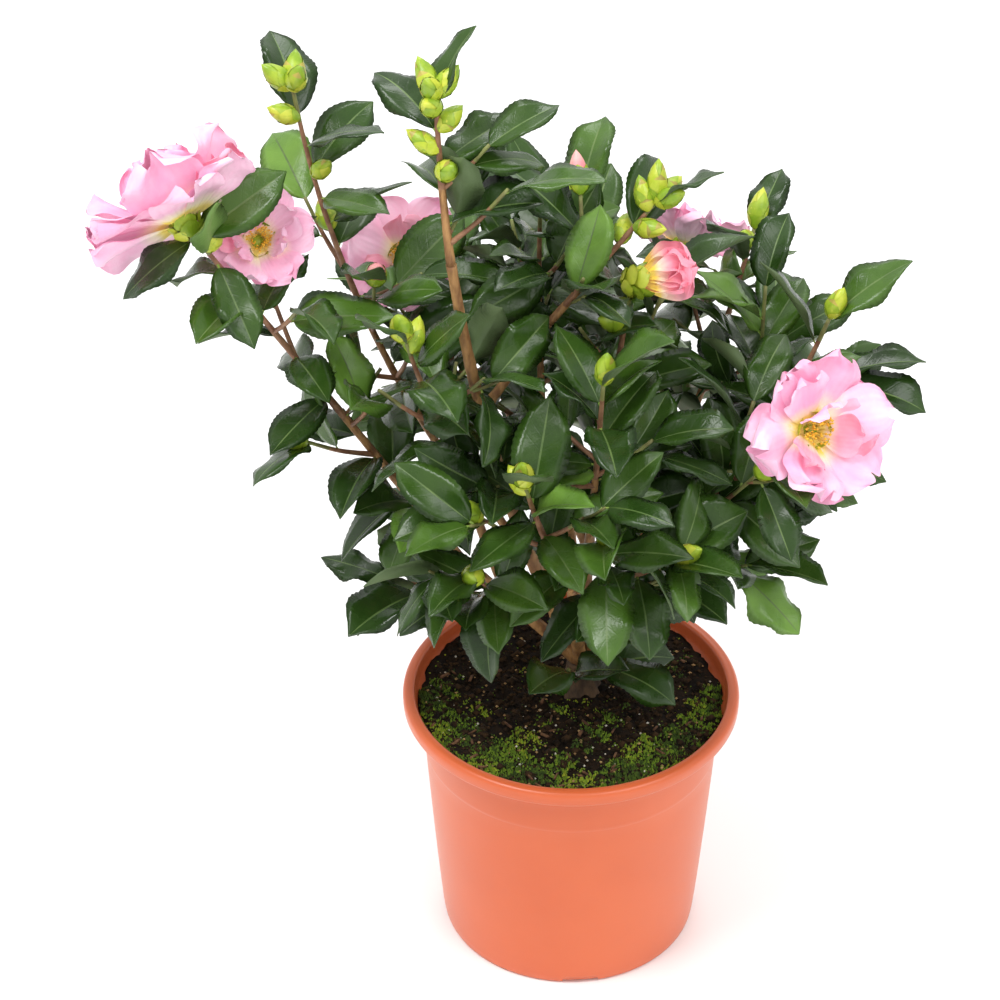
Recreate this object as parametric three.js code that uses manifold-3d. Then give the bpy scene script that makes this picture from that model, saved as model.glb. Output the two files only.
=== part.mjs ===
// A flowering camellia shrub in its plastic nursery pot.
// Millimetres, +Z up. The origin is the middle of the pot's flat underside.
// The shrub has one short stem in the soil, boughs that part from it, and a
// mass of leafy twigs on the end of each bough. Leaves, buds and blooms are
// fused to their twigs.

import * as THREE from 'three';
import { mergeVertices } from 'three/addons/utils/BufferGeometryUtils.js';
import Module from 'manifold-3d';

const wasm = await Module();
wasm.setup();

// ---------------------------------------------------------------- sizes

const GAP = 0.3; // between neighbouring solids
const FACET_GAP = 0.4; // the same gap, measured at the corners of a facet

const POT = {
  height: 159.5,
  footRadius: 72.2,
  footRound: 1.7, // chamfer round the foot
  neckRadius: 84.6, // widest part of the body, under the rim
  neckHeight: 147.5,
  flare: 6, // height over which the body flares out to the rim
  rimRadius: 95,
  rimLip: 9.5, // height of the rolled rim
  rimRound: 2.4, // chamfer round the rim's outer edges
  rimWidth: 5.6, // rim's top, from its outer edge to its inner one
  wall: 2.2,
  floor: 3,
  swell: 0.86, // below 1 the body swells a little on its way up
  facets: 32,
};
const NOTCH = { count: 4, width: 23, height: 2.6, depth: 9, azimuth: -84 };
const DRAIN = { count: 6, radius: 5, ring: 46 };

const SOIL = { top: 149, edgeDrop: 1.5, browShare: 0.82, ripple: 1.6, sink: 0.4 };
const SOIL_WAVE = { perX: 0.21, startX: 1.3, perY: 0.17, startY: -0.6 }; // radians

const FOOT = { x: 5, y: 12, height: 20, soilRadius: 13, topRadius: 7.5, flare: 2.4, sides: 9 };
const LIMB = { piece: 36, sides: 5 }; // about how long its straight pieces are
const STUB = 30; // length of each bough's root that belongs to the stem

const GOLDEN_ANGLE = 137.5;
const LEAF = { length: 53, ratio: 0.47, spacing: 16.3, spread: 58, thickness: 0.9, fold: 14 };
const SKYWARD = 0.7; // how strongly a leaf's upper side turns to the sky
// How one leaf differs from the next: length and spread are factors, facing
// is how far its upper side turns outward, the rest is in degrees.
const LEAF_VARIES = {
  length: [0.84, 1.14],
  jitter: [-16, 16],
  spread: [0.8, 1.2],
  droop: [14, 52],
  roll: [-22, 22],
  sag: [0, 0.5],
  facing: [0.15, 0.75],
};
const BUD = { length: 19, width: 12.5, sideScale: 0.92, baseShare: 0.55, widest: 0.45 };
const TIP_BUDS = { splay: 0.75, aloneSplay: 0.1, turn: 60, apart: 120 };
const SIDE_BUDS = { highest: 0.93, apart: 0.13, turn: 180, upright: 0.7 };
const STEM = { tip: 1.1, bare: 0.1 }; // bare: share of its length with no leaves
const FOOT_STEM = { seat: 0.55, root: 1.5, bare: 0.35 }; // the stem low on the foot
const SHOOT = { root: 1.5, tip: 1.0, bare: 0.22, steps: 2, bow: 14 };
// The twigs that the seeded rule adds along the lower part of a stem.
const TWIG = {
  lowest: 0.06,
  stretch: 0.5,
  within: [0.3, 0.7],
  turn: 70,
  jitter: [-20, 20],
  lean: [45, 66],
  length: [30, 50],
};
const BUD_MARKS = [5, 10, 15, 18]; // distances along a bud where its room is tested
const TIP_SPREAD = [0.35, 0.75, 0.75]; // leaves close in round a twig's tip
const STEPS = 8; // straight pieces in a bough or a stem

const MARK_SPACING = 4; // between the points that stand for a limb or twig
const GRID_SHARES = [0.15, 0.28, 0.41, 0.54, 0.67, 0.8, 0.92, 1];
const GRID_SIDES = [-1, -0.5, 0, 0.5, 1];
const SEED = { first: 4001, step: 97 };
const TRIES = [0, 24, -24, 48, -48, 75, -75]; // turns tried to find room

// Clear distances that a new leaf or shoot keeps.
const CLEAR = { limb: 3, otherTwig: 5, otherMass: 7, ownMass: 4, pot: 3, soil: 1.5, farApart: 90 };
const ROOT_MARKS = 3; // points at a shoot's root that may touch its own wood

// Each bough: its parent and the share of the parent's length where it
// leaves, its azimuth and lean from upright in degrees, its length, how far
// it straightens up on the way, and its radius at the root and at the tip.
const BOUGHS = [
  ['left', 'stem', 1, -168, 40, 105, 2, 4.0, 2.8],
  ['upright', 'left', 0.6, 135, 30, 70, 8, 2.8, 2.3],
  ['low_left', 'left', 0.42, 178, 60, 30, 0, 2.2, 1.8],
  ['crown', 'stem', 1, -138, 17, 318, 16, 4.2, 2.6],
  ['slant', 'crown', 0.68, 30, 43, 58, 0, 2.6, 2.2],
  ['mid_left', 'crown', 0.3, -165, 30, 50, 4, 2.6, 2.2],
  ['front_left', 'crown', 0.16, -135, 50, 50, 6, 2.4, 1.9],
  ['front', 'stem', 1, -97, 28, 95, 8, 4.0, 2.6],
  ['middle', 'front', 0.7, -60, 14, 60, 4, 2.8, 2.3],
  ['front_right', 'front', 0.5, -52, 36, 50, 6, 2.6, 2.0],
  ['right', 'stem', 1, -42, 24, 85, 6, 4.0, 2.8],
  ['low_right', 'right', 0.5, -22, 46, 50, 4, 2.4, 1.9],
  ['far_right', 'stem', 1, 3, 38, 100, 8, 4.0, 2.7],
  ['half', 'stem', 1, 70, 8, 110, 6, 3.8, 2.7],
  ['top', 'half', 0.65, 160, 24, 65, 8, 2.8, 2.3],
  ['rear_left', 'stem', 1, 138, 30, 120, 8, 3.8, 2.6],
  ['rear', 'stem', 1, 98, 38, 110, 10, 3.8, 2.6],
  ['rear_right', 'stem', 1, 45, 36, 115, 8, 3.8, 2.6],
  ['rear_low', 'rear', 0.5, 120, 60, 45, 6, 2.4, 1.9],
];

// Each mass: the bough it grows on, its stem's azimuth, lean, length and
// bow, the azimuth of its first leaf, how far round the stem the leaves
// turn (1 is all round), what the tip carries, the buds beside the tip, the
// side shoots, and how many more twigs the seeded rule adds.
// A side shoot: share of the stem's length, azimuth, lean, length, azimuth
// of its first leaf, and what its tip carries.
const MASSES = [
  ['left', -172, 32, 266, 0, -150, 1, 'wide bloom', 1, [
    [0.33, -151, 62, 46, -100, 'bud'],
    [0.62, 135, 26, 66, 200, 'small bloom'],
    [0.7, -50, 42, 34, -60, 'leaf'],
    [0.42, -60, 40, 40, -60, 'leaf'],
  ], 2],
  ['upright', 174, 20, 264, 24, 10, 0.55, 'buds', 3, [
    [0.55, 140, 40, 50, 90, 'leaf'],
    [0.42, -85, 34, 66, -70, 'pink bud'],
    [0.3, -100, 42, 60, -90, 'bud'],
  ], 3],
  ['low_left', 178, 80, 57, 6, 120, 1, 'leaf', 0, [
    [0.35, 120, 55, 40, 120, 'leaf'],
    [0.25, -130, 60, 36, -150, 'leaf'],
  ], 0],
  ['crown', 130, 7, 94, 8, 70, 0.45, 'buds', 4, [
    [0.12, -10, 40, 48, 0, 'leaf'],
    [0.45, 10, 45, 34, 30, 'leaf'],
  ], 0],
  ['slant', 24, 45, 85, 0, 0, 0.7, 'buds', 3, [
    [0.35, 100, 25, 46, 60, 'pink bud'],
    [0.15, -60, 35, 34, -90, 'leaf'],
  ], 0],
  ['mid_left', -134, 24, 146, 12, -120, 1, 'bud', 1, [
    [0.5, -170, 50, 44, 180, 'leaf'],
    [0.6, -20, 45, 40, -40, 'leaf'],
  ], 2],
  ['front_left', -104, 48, 76, 10, -150, 1, 'bud', 0, [
    [0.4, -165, 60, 32, -160, 'leaf'],
    [0.5, -60, 50, 26, -50, 'leaf'],
  ], 0],
  ['front', -111, 31, 135, 10, -60, 1, 'bud', 1, [
    [0.45, -150, 50, 54, -140, 'bud'],
    [0.55, -50, 45, 44, -40, 'leaf'],
  ], 1],
  ['middle', -81, 17, 136, 8, 0, 1, 'bud', 0, [
    [0.45, -20, 45, 44, 0, 'leaf'],
    [0.55, 170, 45, 40, 180, 'leaf'],
  ], 2],
  ['front_right', -93, 37, 101, 10, -90, 1, 'bud', 0, [
    [0.35, -44, 50, 62, -60, 'bud'],
  ], 1],
  ['right', -23, 38, 160, -12, -52, 1, 'right bloom', 1, [
    [0.35, -47, 42, 80, -40, 'bud'],
    [0.55, 40, 25, 54, 60, 'leaf'],
  ], 1],
  ['low_right', -12, 40, 74, 6, -60, 1, 'leaf', 0, [
    [0.3, -60, 60, 35, -60, 'leaf'],
    [0.4, 40, 55, 40, 30, 'leaf'],
  ], 0],
  ['far_right', -13, 23, 177, 10, 10, 1, 'bud', 0, [
    [0.4, 80, 15, 100, 60, 'leaf'],
    [0.55, 10, 45, 44, 0, 'leaf'],
    [0.65, -60, 35, 40, -90, 'leaf'],
    [0.3, -20, 60, 50, -20, 'leaf'],
  ], 1],
  ['half', -63, 15, 166, 0, -110, 1, 'half bloom', 2, [
    [0.5, 30, 30, 64, 30, 'leaf'],
    [0.6, -150, 35, 40, -150, 'leaf'],
  ], 3],
  ['top', 131, 2, 155, 8, 130, 1, 'leaf', 0, [
    [0.55, 120, 35, 55, 90, 'leaf'],
    [0.7, -60, 40, 44, -60, 'leaf'],
  ], 3],
  ['rear_left', 153, 27, 133, 8, 120, 1, 'shaded bloom', 1, [
    [0.4, 150, 45, 60, 150, 'leaf'],
    [0.5, 90, 35, 60, 90, 'bud'],
  ], 2],
  ['rear', 95, 30, 150, 14, 60, 1, 'buds', 1, [
    [0.35, 10, 40, 60, 20, 'leaf'],
    [0.4, 170, 45, 64, 160, 'leaf'],
    [0.55, 60, 40, 50, 90, 'leaf'],
  ], 2],
  ['rear_right', 50, 28, 150, 12, 60, 1, 'bud', 1, [
    [0.35, -20, 45, 60, 0, 'leaf'],
    [0.45, 110, 45, 66, 120, 'rear bloom'],
  ], 2],
  ['rear_low', 115, 55, 80, 14, 150, 1, 'bud', 0, [
    [0.3, 60, 60, 55, 60, 'leaf'],
    [0.4, 170, 55, 50, 170, 'leaf'],
  ], 0],
  ['stem', -104, 50, 36, 20, -140, 1, 'leaf', 0, [
    [0.45, -35, 55, 24, -40, 'leaf'],
  ], 0],
];

// Petals of a bloom, layer by layer: how many, their tilt away from the
// bloom's axis, their length as a share of the bloom's radius, and the
// azimuth of the first.
const OPEN_PETALS = [[6, 70, 1, 0], [3, 38, 0.72, 30]];
const HALF_PETALS = [[4, 30, 1, 20]];
const PETAL = { ratio: 0.64, thickness: 1.3, seat: 3 }; // seat: root to bloom axis
const PETAL_VARIES = { around: [-9, 9], tilt: [-7, 7], length: [0.92, 1.06], droop: [-30, 12] };
const CUP = { seat: 3, back: 5, depth: 12, neckRadius: 2.2, radius: 5.5, lipRadius: 4, sides: 5 };

// Each bloom: its radius, the azimuth and lean of its face, and its petals.
const BLOOMS = {
  'wide bloom': { radius: 51, azimuth: 130, lean: 50, petals: OPEN_PETALS },
  'small bloom': { radius: 29, azimuth: -70, lean: 45, petals: OPEN_PETALS },
  'shaded bloom': { radius: 35, azimuth: -100, lean: 40, petals: OPEN_PETALS },
  'right bloom': { radius: 41, azimuth: -56, lean: 62, petals: OPEN_PETALS },
  'rear bloom': { radius: 36, azimuth: 70, lean: 50, petals: OPEN_PETALS },
  'half bloom': { radius: 32, azimuth: 4, lean: 74, petals: HALF_PETALS },
};

// ---------------------------------------------------------------- paths

const radians = THREE.MathUtils.degToRad;

function vector(x, y, z) {
  return new THREE.Vector3(x, y, z);
}

function heading(azimuth, lean) {
  const a = radians(azimuth);
  const l = radians(lean);
  return vector(Math.sin(l) * Math.cos(a), Math.sin(l) * Math.sin(a), Math.cos(l));
}

// An arc that starts leaning by lean + bow / 2 and ends at lean - bow / 2.
function arcPath(start, azimuth, lean, length, bow, steps = STEPS) {
  const path = [start.clone()];
  for (let i = 0; i < steps; i += 1) {
    const leanHere = lean + bow * (0.5 - (i + 0.5) / steps);
    const step = heading(azimuth, leanHere).multiplyScalar(length / steps);
    path.push(path[i].clone().add(step));
  }
  return path;
}

function pointAlong(path, share) {
  const place = share * (path.length - 1);
  const i = Math.min(Math.floor(place), path.length - 2);
  return path[i].clone().lerp(path[i + 1], place - i);
}

function directionAlong(path, share) {
  const i = Math.min(Math.floor(share * (path.length - 1)), path.length - 2);
  return path[i + 1].clone().sub(path[i]).normalize();
}

function pathLength(path) {
  let total = 0;
  for (let i = 1; i < path.length; i += 1) total += path[i].distanceTo(path[i - 1]);
  return total;
}

// Points at most MARK_SPACING apart along a path, each with the radius there.
function densePoints(path, rootRadius, tipRadius) {
  const count = Math.ceil(pathLength(path) / MARK_SPACING);
  const points = [];
  for (let i = 0; i <= count; i += 1) {
    const share = i / count;
    const point = pointAlong(path, share);
    points.push({ point, radius: rootRadius + (tipRadius - rootRadius) * share });
  }
  return points;
}

// The part of azimuth's horizontal direction that is square to an axis.
function outward(axis, azimuth) {
  const flat = heading(azimuth, 90);
  flat.addScaledVector(axis, -flat.dot(axis));
  if (flat.lengthSq() < 0.02) return vector(0, 0, 1);
  return flat.normalize();
}

// A stream of seeded numbers between two limits.
function seeded(seed) {
  const modulus = 2147483647;
  let state = seed;
  return (low, high) => {
    state = (state * 16807) % modulus;
    return low + ((high - low) * state) / modulus;
  };
}

// ---------------------------------------------------------------- blades

// A leaf or petal: a thin blade that bends away from its upper side by
// droop degrees from base to tip, folded up a little along its midrib.
class Blade {
  constructor(base, along, up, length, width, droop, shape) {
    this.base = base;
    this.along = along;
    this.up = up;
    this.across = along.clone().cross(up);
    this.length = length;
    this.width = width;
    this.bend = radians(Math.abs(droop) < 0.1 ? 0.1 : droop);
    this.shape = shape;
  }

  // share runs from base to tip, side from -1 to 1, lift is off the face.
  point(share, side, lift = 0) {
    const turn = this.bend * share;
    const forward = (this.length * Math.sin(turn)) / this.bend;
    const down = (this.length * (1 - Math.cos(turn))) / this.bend;
    const reach = (Math.abs(side) * this.width * this.shape.outline(share)) / 2;
    const rise = reach * Math.tan(radians(this.shape.fold)) + lift;
    return this.base
      .clone()
      .addScaledVector(this.along, forward + rise * Math.sin(turn))
      .addScaledVector(this.up, rise * Math.cos(turn) - down)
      .addScaledVector(this.across, Math.sign(side) * reach);
  }

  // The point grid that stands for the blade when its room is tested.
  samples() {
    const points = [];
    for (const share of GRID_SHARES) {
      for (const side of GRID_SIDES) points.push(this.point(share, side));
    }
    return points;
  }
}

// A camellia leaf: narrow stalk, widest just past the middle, drawn-out tip.
const LEAF_SHAPE = {
  fold: LEAF.fold,
  edge: [0.32, 0.7],
  stalk: 0.09,
  stalkWidth: 0.1,
  outline(share) {
    if (share < this.stalk) return this.stalkWidth;
    const t = (share - this.stalk) / (1 - this.stalk);
    return this.stalkWidth * (1 - t) + 0.95 * Math.sin(Math.PI * t ** 0.9) ** 0.85;
  },
};

// A petal: narrow at the base, broad and blunt beyond the middle.
const PETAL_SHAPE = {
  fold: -8,
  edge: [0.4, 0.85],
  outline(share) {
    return 0.14 * (1 - share) + Math.sin(Math.PI * Math.min(1, share) ** 1.7) ** 0.6;
  },
};

// The closed solid of a blade: two folded faces with sharp edges, thickest
// at the middle of the midrib.
function bladeSolid(blade, thickness) {
  const [near, far] = blade.shape.edge;
  const corners = [
    blade.point(0, 0),
    blade.point(1, 0),
    blade.point(0.5, 0, thickness / 2),
    blade.point(0.5, 0, -thickness / 2),
    blade.point(near, 1),
    blade.point(far, 1),
    blade.point(near, -1),
    blade.point(far, -1),
  ];
  const faces = [
    [0, 4, 2], [4, 5, 2], [5, 1, 2], [0, 2, 6], [6, 2, 7], [7, 2, 1],
    [0, 3, 4], [4, 3, 5], [5, 3, 1], [0, 6, 3], [6, 7, 3], [7, 1, 3],
  ];
  return solidFromFaces(corners, faces);
}

// ---------------------------------------------------------------- solids

function solidFromFaces(corners, faces) {
  const vertProperties = new Float32Array(corners.flatMap((c) => [c.x, c.y, c.z]));
  const triVerts = new Uint32Array(faces.flat());
  return new wasm.Manifold(new wasm.Mesh({ numProp: 3, vertProperties, triVerts }));
}

function solidFromGeometry(geometry) {
  const bare = geometry.index ? geometry.toNonIndexed() : geometry.clone();
  bare.deleteAttribute('normal');
  bare.deleteAttribute('uv');
  const merged = mergeVertices(bare, 1e-4);
  const vertProperties = Float32Array.from(merged.attributes.position.array);
  const triVerts = Uint32Array.from(merged.index.array);
  return new wasm.Manifold(new wasm.Mesh({ numProp: 3, vertProperties, triVerts }));
}

function geometryFromSolid(solid) {
  const mesh = solid.getMesh();
  const geometry = new THREE.BufferGeometry();
  const positions = new Float32Array(mesh.numVert * 3);
  for (let i = 0; i < mesh.numVert; i += 1) {
    for (let k = 0; k < 3; k += 1) {
      positions[i * 3 + k] = mesh.vertProperties[i * mesh.numProp + k];
    }
  }
  geometry.setAttribute('position', new THREE.BufferAttribute(positions, 3));
  geometry.setIndex(new THREE.BufferAttribute(Uint32Array.from(mesh.triVerts), 1));
  return geometry;
}

// Joins solids into one. Only the largest body is kept, which fills a
// hollow that the joining sealed and drops a loose scrap.
function fuse(solids) {
  let whole = solids[0];
  for (const solid of solids.slice(1)) whole = whole.add(solid);
  return largestBody(whole);
}

function largestBody(solid) {
  const bodies = solid.decompose();
  return bodies.reduce((best, body) => (body.volume() > best.volume() ? body : best));
}

// A rod of flat-sided section along a path. radii holds one radius for each
// point of the path, and a last radius of 0 ends it in a point.
function rod(path, radii, sides) {
  const corners = [];
  const faces = [];
  const first = directionAlong(path, 0);
  let across = vector(0, 1, 0).cross(first);
  if (across.lengthSq() < 0.01) across = vector(1, 0, 0).cross(first);
  across.normalize();
  path.forEach((point, i) => {
    const before = path[Math.max(0, i - 1)];
    const after = path[Math.min(path.length - 1, i + 1)];
    const axis = after.clone().sub(before).normalize();
    across.addScaledVector(axis, -across.dot(axis)).normalize();
    const other = axis.clone().cross(across);
    if (radii[i] === 0) {
      corners.push(point.clone());
      return;
    }
    for (let k = 0; k < sides; k += 1) {
      const angle = (2 * Math.PI * k) / sides;
      corners.push(
        point
          .clone()
          .addScaledVector(across, radii[i] * Math.cos(angle))
          .addScaledVector(other, radii[i] * Math.sin(angle)),
      );
    }
  });
  const pointed = radii[radii.length - 1] === 0;
  const rings = pointed ? path.length - 1 : path.length;
  for (let i = 0; i < rings - 1; i += 1) {
    for (let k = 0; k < sides; k += 1) {
      const a = i * sides + k;
      const b = i * sides + ((k + 1) % sides);
      faces.push([a, b, b + sides], [a, b + sides, a + sides]);
    }
  }
  const last = (rings - 1) * sides;
  for (let k = 1; k < sides - 1; k += 1) {
    faces.push([0, k + 1, k]);
    if (!pointed) faces.push([last, last + k, last + k + 1]);
  }
  if (pointed) {
    for (let k = 0; k < sides; k += 1) {
      faces.push([last + k, last + ((k + 1) % sides), last + sides]);
    }
  }
  return solidFromFaces(corners, faces);
}

function taperedRod(path, rootRadius, tipRadius, sides) {
  const radii = path.map((_, i) => rootRadius + ((tipRadius - rootRadius) * i) / (path.length - 1));
  return rod(path, radii, sides);
}

// ---------------------------------------------------------------- growth

function growLimbs() {
  const foot = vector(FOOT.x, FOOT.y, SOIL.top + GAP);
  const stemPath = arcPath(foot, 0, 0, FOOT.height, 0);
  const limbs = new Map();
  limbs.set('stem', { path: stemPath, root: FOOT.soilRadius, tip: FOOT.topRadius });
  for (const [name, parent, share, azimuth, lean, length, bow, root, tip] of BOUGHS) {
    const start = pointAlong(limbs.get(parent).path, share);
    limbs.set(name, { path: arcPath(start, azimuth, lean, length, bow), root, tip });
  }
  return limbs;
}

// The stem of a mass, from its bough's tip or out of the shrub's own stem.
function growStem(row, limbs) {
  const [bough, azimuth, lean, length, bow, turn, swing, carries, besideTip] = row;
  const limb = limbs.get(bough);
  const onStem = bough === 'stem';
  const seat = pointAlong(limb.path, onStem ? FOOT_STEM.seat : 1);
  const path = arcPath(seat, azimuth, lean, length, bow);
  const root = onStem ? FOOT_STEM.root : limb.tip;
  const bare = onStem ? FOOT_STEM.bare : STEM.bare;
  return { path, root, tip: STEM.tip, bare, turn, swing, carries, besideTip };
}

// The side shoots of a mass, then the twigs that the seeded rule adds. One
// that would touch a limb or another mass turns aside, or is skipped.
function growShoots(row, stem, draw, room) {
  const [owner, , , , , turn, swing, , , shoots, twigs] = row;
  const plans = [...shoots];
  for (let k = 0; k < twigs; k += 1) {
    const share = TWIG.lowest + (TWIG.stretch * (k + draw(...TWIG.within))) / twigs;
    const azimuth = turn + TWIG.turn + GOLDEN_ANGLE * k + draw(...TWIG.jitter);
    plans.push([share, azimuth, draw(...TWIG.lean), draw(...TWIG.length), azimuth, 'leaf']);
  }
  const grown = [];
  for (const [share, azimuth, lean, length, first, carries] of plans) {
    const seat = pointAlong(stem.path, share);
    const tryPath = (offset) => arcPath(seat, azimuth + offset, lean, length, SHOOT.bow, SHOOT.steps);
    const path = TRIES.map(tryPath).find((candidate) => room.isClearForShoot(candidate, owner));
    if (!path) continue;
    const shoot = { path, root: SHOOT.root, tip: SHOOT.tip, bare: SHOOT.bare, turn: first, swing };
    grown.push({ ...shoot, carries, besideTip: 0 });
    room.addAxis(shoot, owner);
  }
  return grown;
}

// Petals of a bloom that sits on the end of an axis.
function growBloom(axis, draw) {
  const { radius, azimuth, lean, petals: layers } = BLOOMS[axis.carries];
  const face = heading(azimuth, lean);
  const centre = pointAlong(axis.path, 1).addScaledVector(face, CUP.seat);
  const side = face.clone().cross(vector(0, 0, 1)).normalize();
  const other = face.clone().cross(side);
  const petals = [];
  for (const [count, tilt, share, first] of layers) {
    for (let k = 0; k < count; k += 1) {
      const around = radians(first + (360 * k) / count + draw(...PETAL_VARIES.around));
      const leaning = radians(tilt + draw(...PETAL_VARIES.tilt));
      const length = radius * share * draw(...PETAL_VARIES.length);
      const droop = draw(...PETAL_VARIES.droop);
      const radial = side
        .clone()
        .multiplyScalar(Math.cos(around))
        .addScaledVector(other, Math.sin(around));
      const along = face.clone().multiplyScalar(Math.cos(leaning));
      along.addScaledVector(radial, Math.sin(leaning));
      const up = face.clone().multiplyScalar(Math.sin(leaning));
      up.addScaledVector(radial, -Math.cos(leaning));
      const base = centre.clone().addScaledVector(radial, PETAL.seat);
      petals.push(new Blade(base, along, up, length, length * PETAL.ratio, droop, PETAL_SHAPE));
    }
  }
  return { centre, face, petals };
}

// Buds at the end of an axis and in the leaf corners beside it.
function growBuds(axis) {
  const buds = [];
  const counts = { bud: 1, 'pink bud': 1, buds: 3 };
  const count = counts[axis.carries] ?? 0;
  const end = pointAlong(axis.path, 1);
  const along = directionAlong(axis.path, 1);
  for (let k = 0; k < count; k += 1) {
    const splay = count > 1 ? TIP_BUDS.splay : TIP_BUDS.aloneSplay;
    const out = outward(along, axis.turn + TIP_BUDS.turn + TIP_BUDS.apart * k);
    const aim = along.clone().addScaledVector(out, splay);
    buds.push({ base: end, aim: aim.normalize(), scale: 1 });
  }
  for (let k = 0; k < axis.besideTip; k += 1) {
    const share = SIDE_BUDS.highest - SIDE_BUDS.apart * k;
    const here = directionAlong(axis.path, share);
    const out = outward(here, axis.turn + SIDE_BUDS.turn + GOLDEN_ANGLE * k);
    const aim = here.clone().multiplyScalar(SIDE_BUDS.upright).add(out).normalize();
    buds.push({ base: pointAlong(axis.path, share), aim, scale: BUD.sideScale });
  }
  return buds;
}

// One leaf at a share of an axis, turned off its own azimuth by offset.
function growLeaf(axis, share, azimuth, traits) {
  const here = directionAlong(axis.path, share);
  const out = outward(here, azimuth);
  const spread = radians(traits.spread);
  const along = here.clone().multiplyScalar(Math.cos(spread));
  along.addScaledVector(out, Math.sin(spread));
  along.z -= traits.sag;
  along.normalize();
  const up = here.clone().multiplyScalar(Math.sin(spread));
  up.addScaledVector(out, -Math.cos(spread));
  up.z += SKYWARD;
  up.add(vector(out.x, out.y, 0.001).normalize().multiplyScalar(traits.facing));
  up.addScaledVector(along, -up.dot(along)).normalize();
  const roll = radians(traits.roll);
  const side = along.clone().cross(up);
  up.multiplyScalar(Math.cos(roll)).addScaledVector(side, Math.sin(roll)).normalize();
  const base = pointAlong(axis.path, share);
  return new Blade(base, along, up, traits.length, traits.length * LEAF.ratio, traits.droop, LEAF_SHAPE);
}

function middleOf(points) {
  return points.reduce((sum, p) => sum.add(p), vector(0, 0, 0)).divideScalar(points.length);
}

// Keeps count of the room that is taken, and says whether a leaf is clear
// of the pot, the soil, the limbs, other masses and other leaves.
class Room {
  constructor(limbs) {
    this.limbPoints = [];
    for (const { path, root, tip } of limbs.values()) {
      this.limbPoints.push(...densePoints(path, root, tip));
    }
    this.twigPoints = [];
    this.taken = [];
  }

  addAxis(axis, owner) {
    for (const { point } of densePoints(axis.path, axis.root, axis.tip)) {
      this.twigPoints.push({ point, owner });
    }
  }

  isClearForShoot(path, owner) {
    const rooted = densePoints(path, 1, 1).slice(ROOT_MARKS).map(({ point }) => point);
    return this.clearOfWood(rooted, rooted, CLEAR.otherTwig, owner);
  }

  // body holds the points away from the root, rooted all of them.
  add(rooted, body, owner) {
    this.taken.push({ rooted, body, owner, centre: middleOf(rooted) });
  }

  clearOfPot(points) {
    return points.every((p) => {
      const radius = Math.hypot(p.x, p.y);
      const overSoil = radius < POT.neckRadius - CLEAR.pot && p.z > SOIL.top + CLEAR.soil;
      return p.z > POT.height + CLEAR.pot || overSoil;
    });
  }

  clearOfWood(rooted, body, limbGap, owner) {
    const nearLimb = (limb) => body.some((p) => p.distanceTo(limb.point) < limb.radius + limbGap);
    if (this.limbPoints.some(nearLimb)) return false;
    const near = (point) => rooted.some((p) => p.distanceTo(point) < CLEAR.otherTwig);
    return !this.twigPoints.some((twig) => twig.owner !== owner && near(twig.point));
  }

  isClear(rooted, body, owner) {
    if (!this.clearOfPot(rooted)) return false;
    if (!this.clearOfWood(rooted, body, CLEAR.limb, owner)) return false;
    const centre = middleOf(rooted);
    return !this.taken.some((other) => {
      if (other.centre.distanceTo(centre) > CLEAR.farApart) return false;
      const own = other.owner === owner;
      const mine = own ? body : rooted;
      const theirs = own ? other.body : other.rooted;
      const gap = own ? CLEAR.ownMass : CLEAR.otherMass;
      return mine.some((p) => theirs.some((q) => p.distanceTo(q) < gap));
    });
  }
}

function growMasses(limbs) {
  const room = new Room(limbs);
  const masses = MASSES.map((row, index) => {
    const stem = growStem(row, limbs);
    room.addAxis(stem, row[0]);
    const draw = seeded(SEED.first + SEED.step * index);
    return { name: row[0], draw, axes: [stem], leaves: [], buds: [], blooms: [] };
  });
  masses.forEach((mass, index) => {
    mass.axes.push(...growShoots(MASSES[index], mass.axes[0], mass.draw, room));
  });
  for (const mass of masses) {
    for (const axis of mass.axes) {
      for (const bud of growBuds(axis)) {
        const marks = BUD_MARKS.map((d) => bud.base.clone().addScaledVector(bud.aim, d));
        room.add(marks, marks.slice(-1), mass.name);
        mass.buds.push(bud);
      }
      if (!(axis.carries in BLOOMS)) continue;
      const bloom = growBloom(axis, mass.draw);
      for (const petal of bloom.petals) {
        const grid = petal.samples();
        room.add(grid, grid.slice(GRID_SIDES.length), mass.name);
      }
      mass.blooms.push(bloom);
    }
  }
  for (const mass of masses) {
    for (const axis of mass.axes) growLeaves(mass, axis, room);
  }
  return masses;
}

function growLeaves(mass, axis, room) {
  const leafy = pathLength(axis.path) * (1 - axis.bare);
  const count = Math.max(2, Math.round(leafy / LEAF.spacing));
  for (let k = 0; k < count; k += 1) {
    const share = 1 - ((1 - axis.bare) * (k + 0.25)) / count;
    const turned = ((GOLDEN_ANGLE * k + 180) % 360) - 180;
    const traits = {
      length: LEAF.length * mass.draw(...LEAF_VARIES.length),
      jitter: mass.draw(...LEAF_VARIES.jitter),
      spread: LEAF.spread * mass.draw(...LEAF_VARIES.spread) * (TIP_SPREAD[k] ?? 1),
      droop: mass.draw(...LEAF_VARIES.droop),
      roll: mass.draw(...LEAF_VARIES.roll),
      sag: mass.draw(...LEAF_VARIES.sag) * (k < 2 ? 0 : 1),
      facing: mass.draw(...LEAF_VARIES.facing),
    };
    for (const offset of TRIES) {
      const azimuth = axis.turn + turned * axis.swing + traits.jitter + offset;
      const leaf = growLeaf(axis, share, azimuth, traits);
      const grid = leaf.samples();
      const body = grid.slice(GRID_SIDES.length);
      if (!room.isClear(grid, body, mass.name)) continue;
      room.add(grid, body, mass.name);
      mass.leaves.push(leaf);
      break;
    }
  }
}

// ---------------------------------------------------------------- sub-parts

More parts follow.
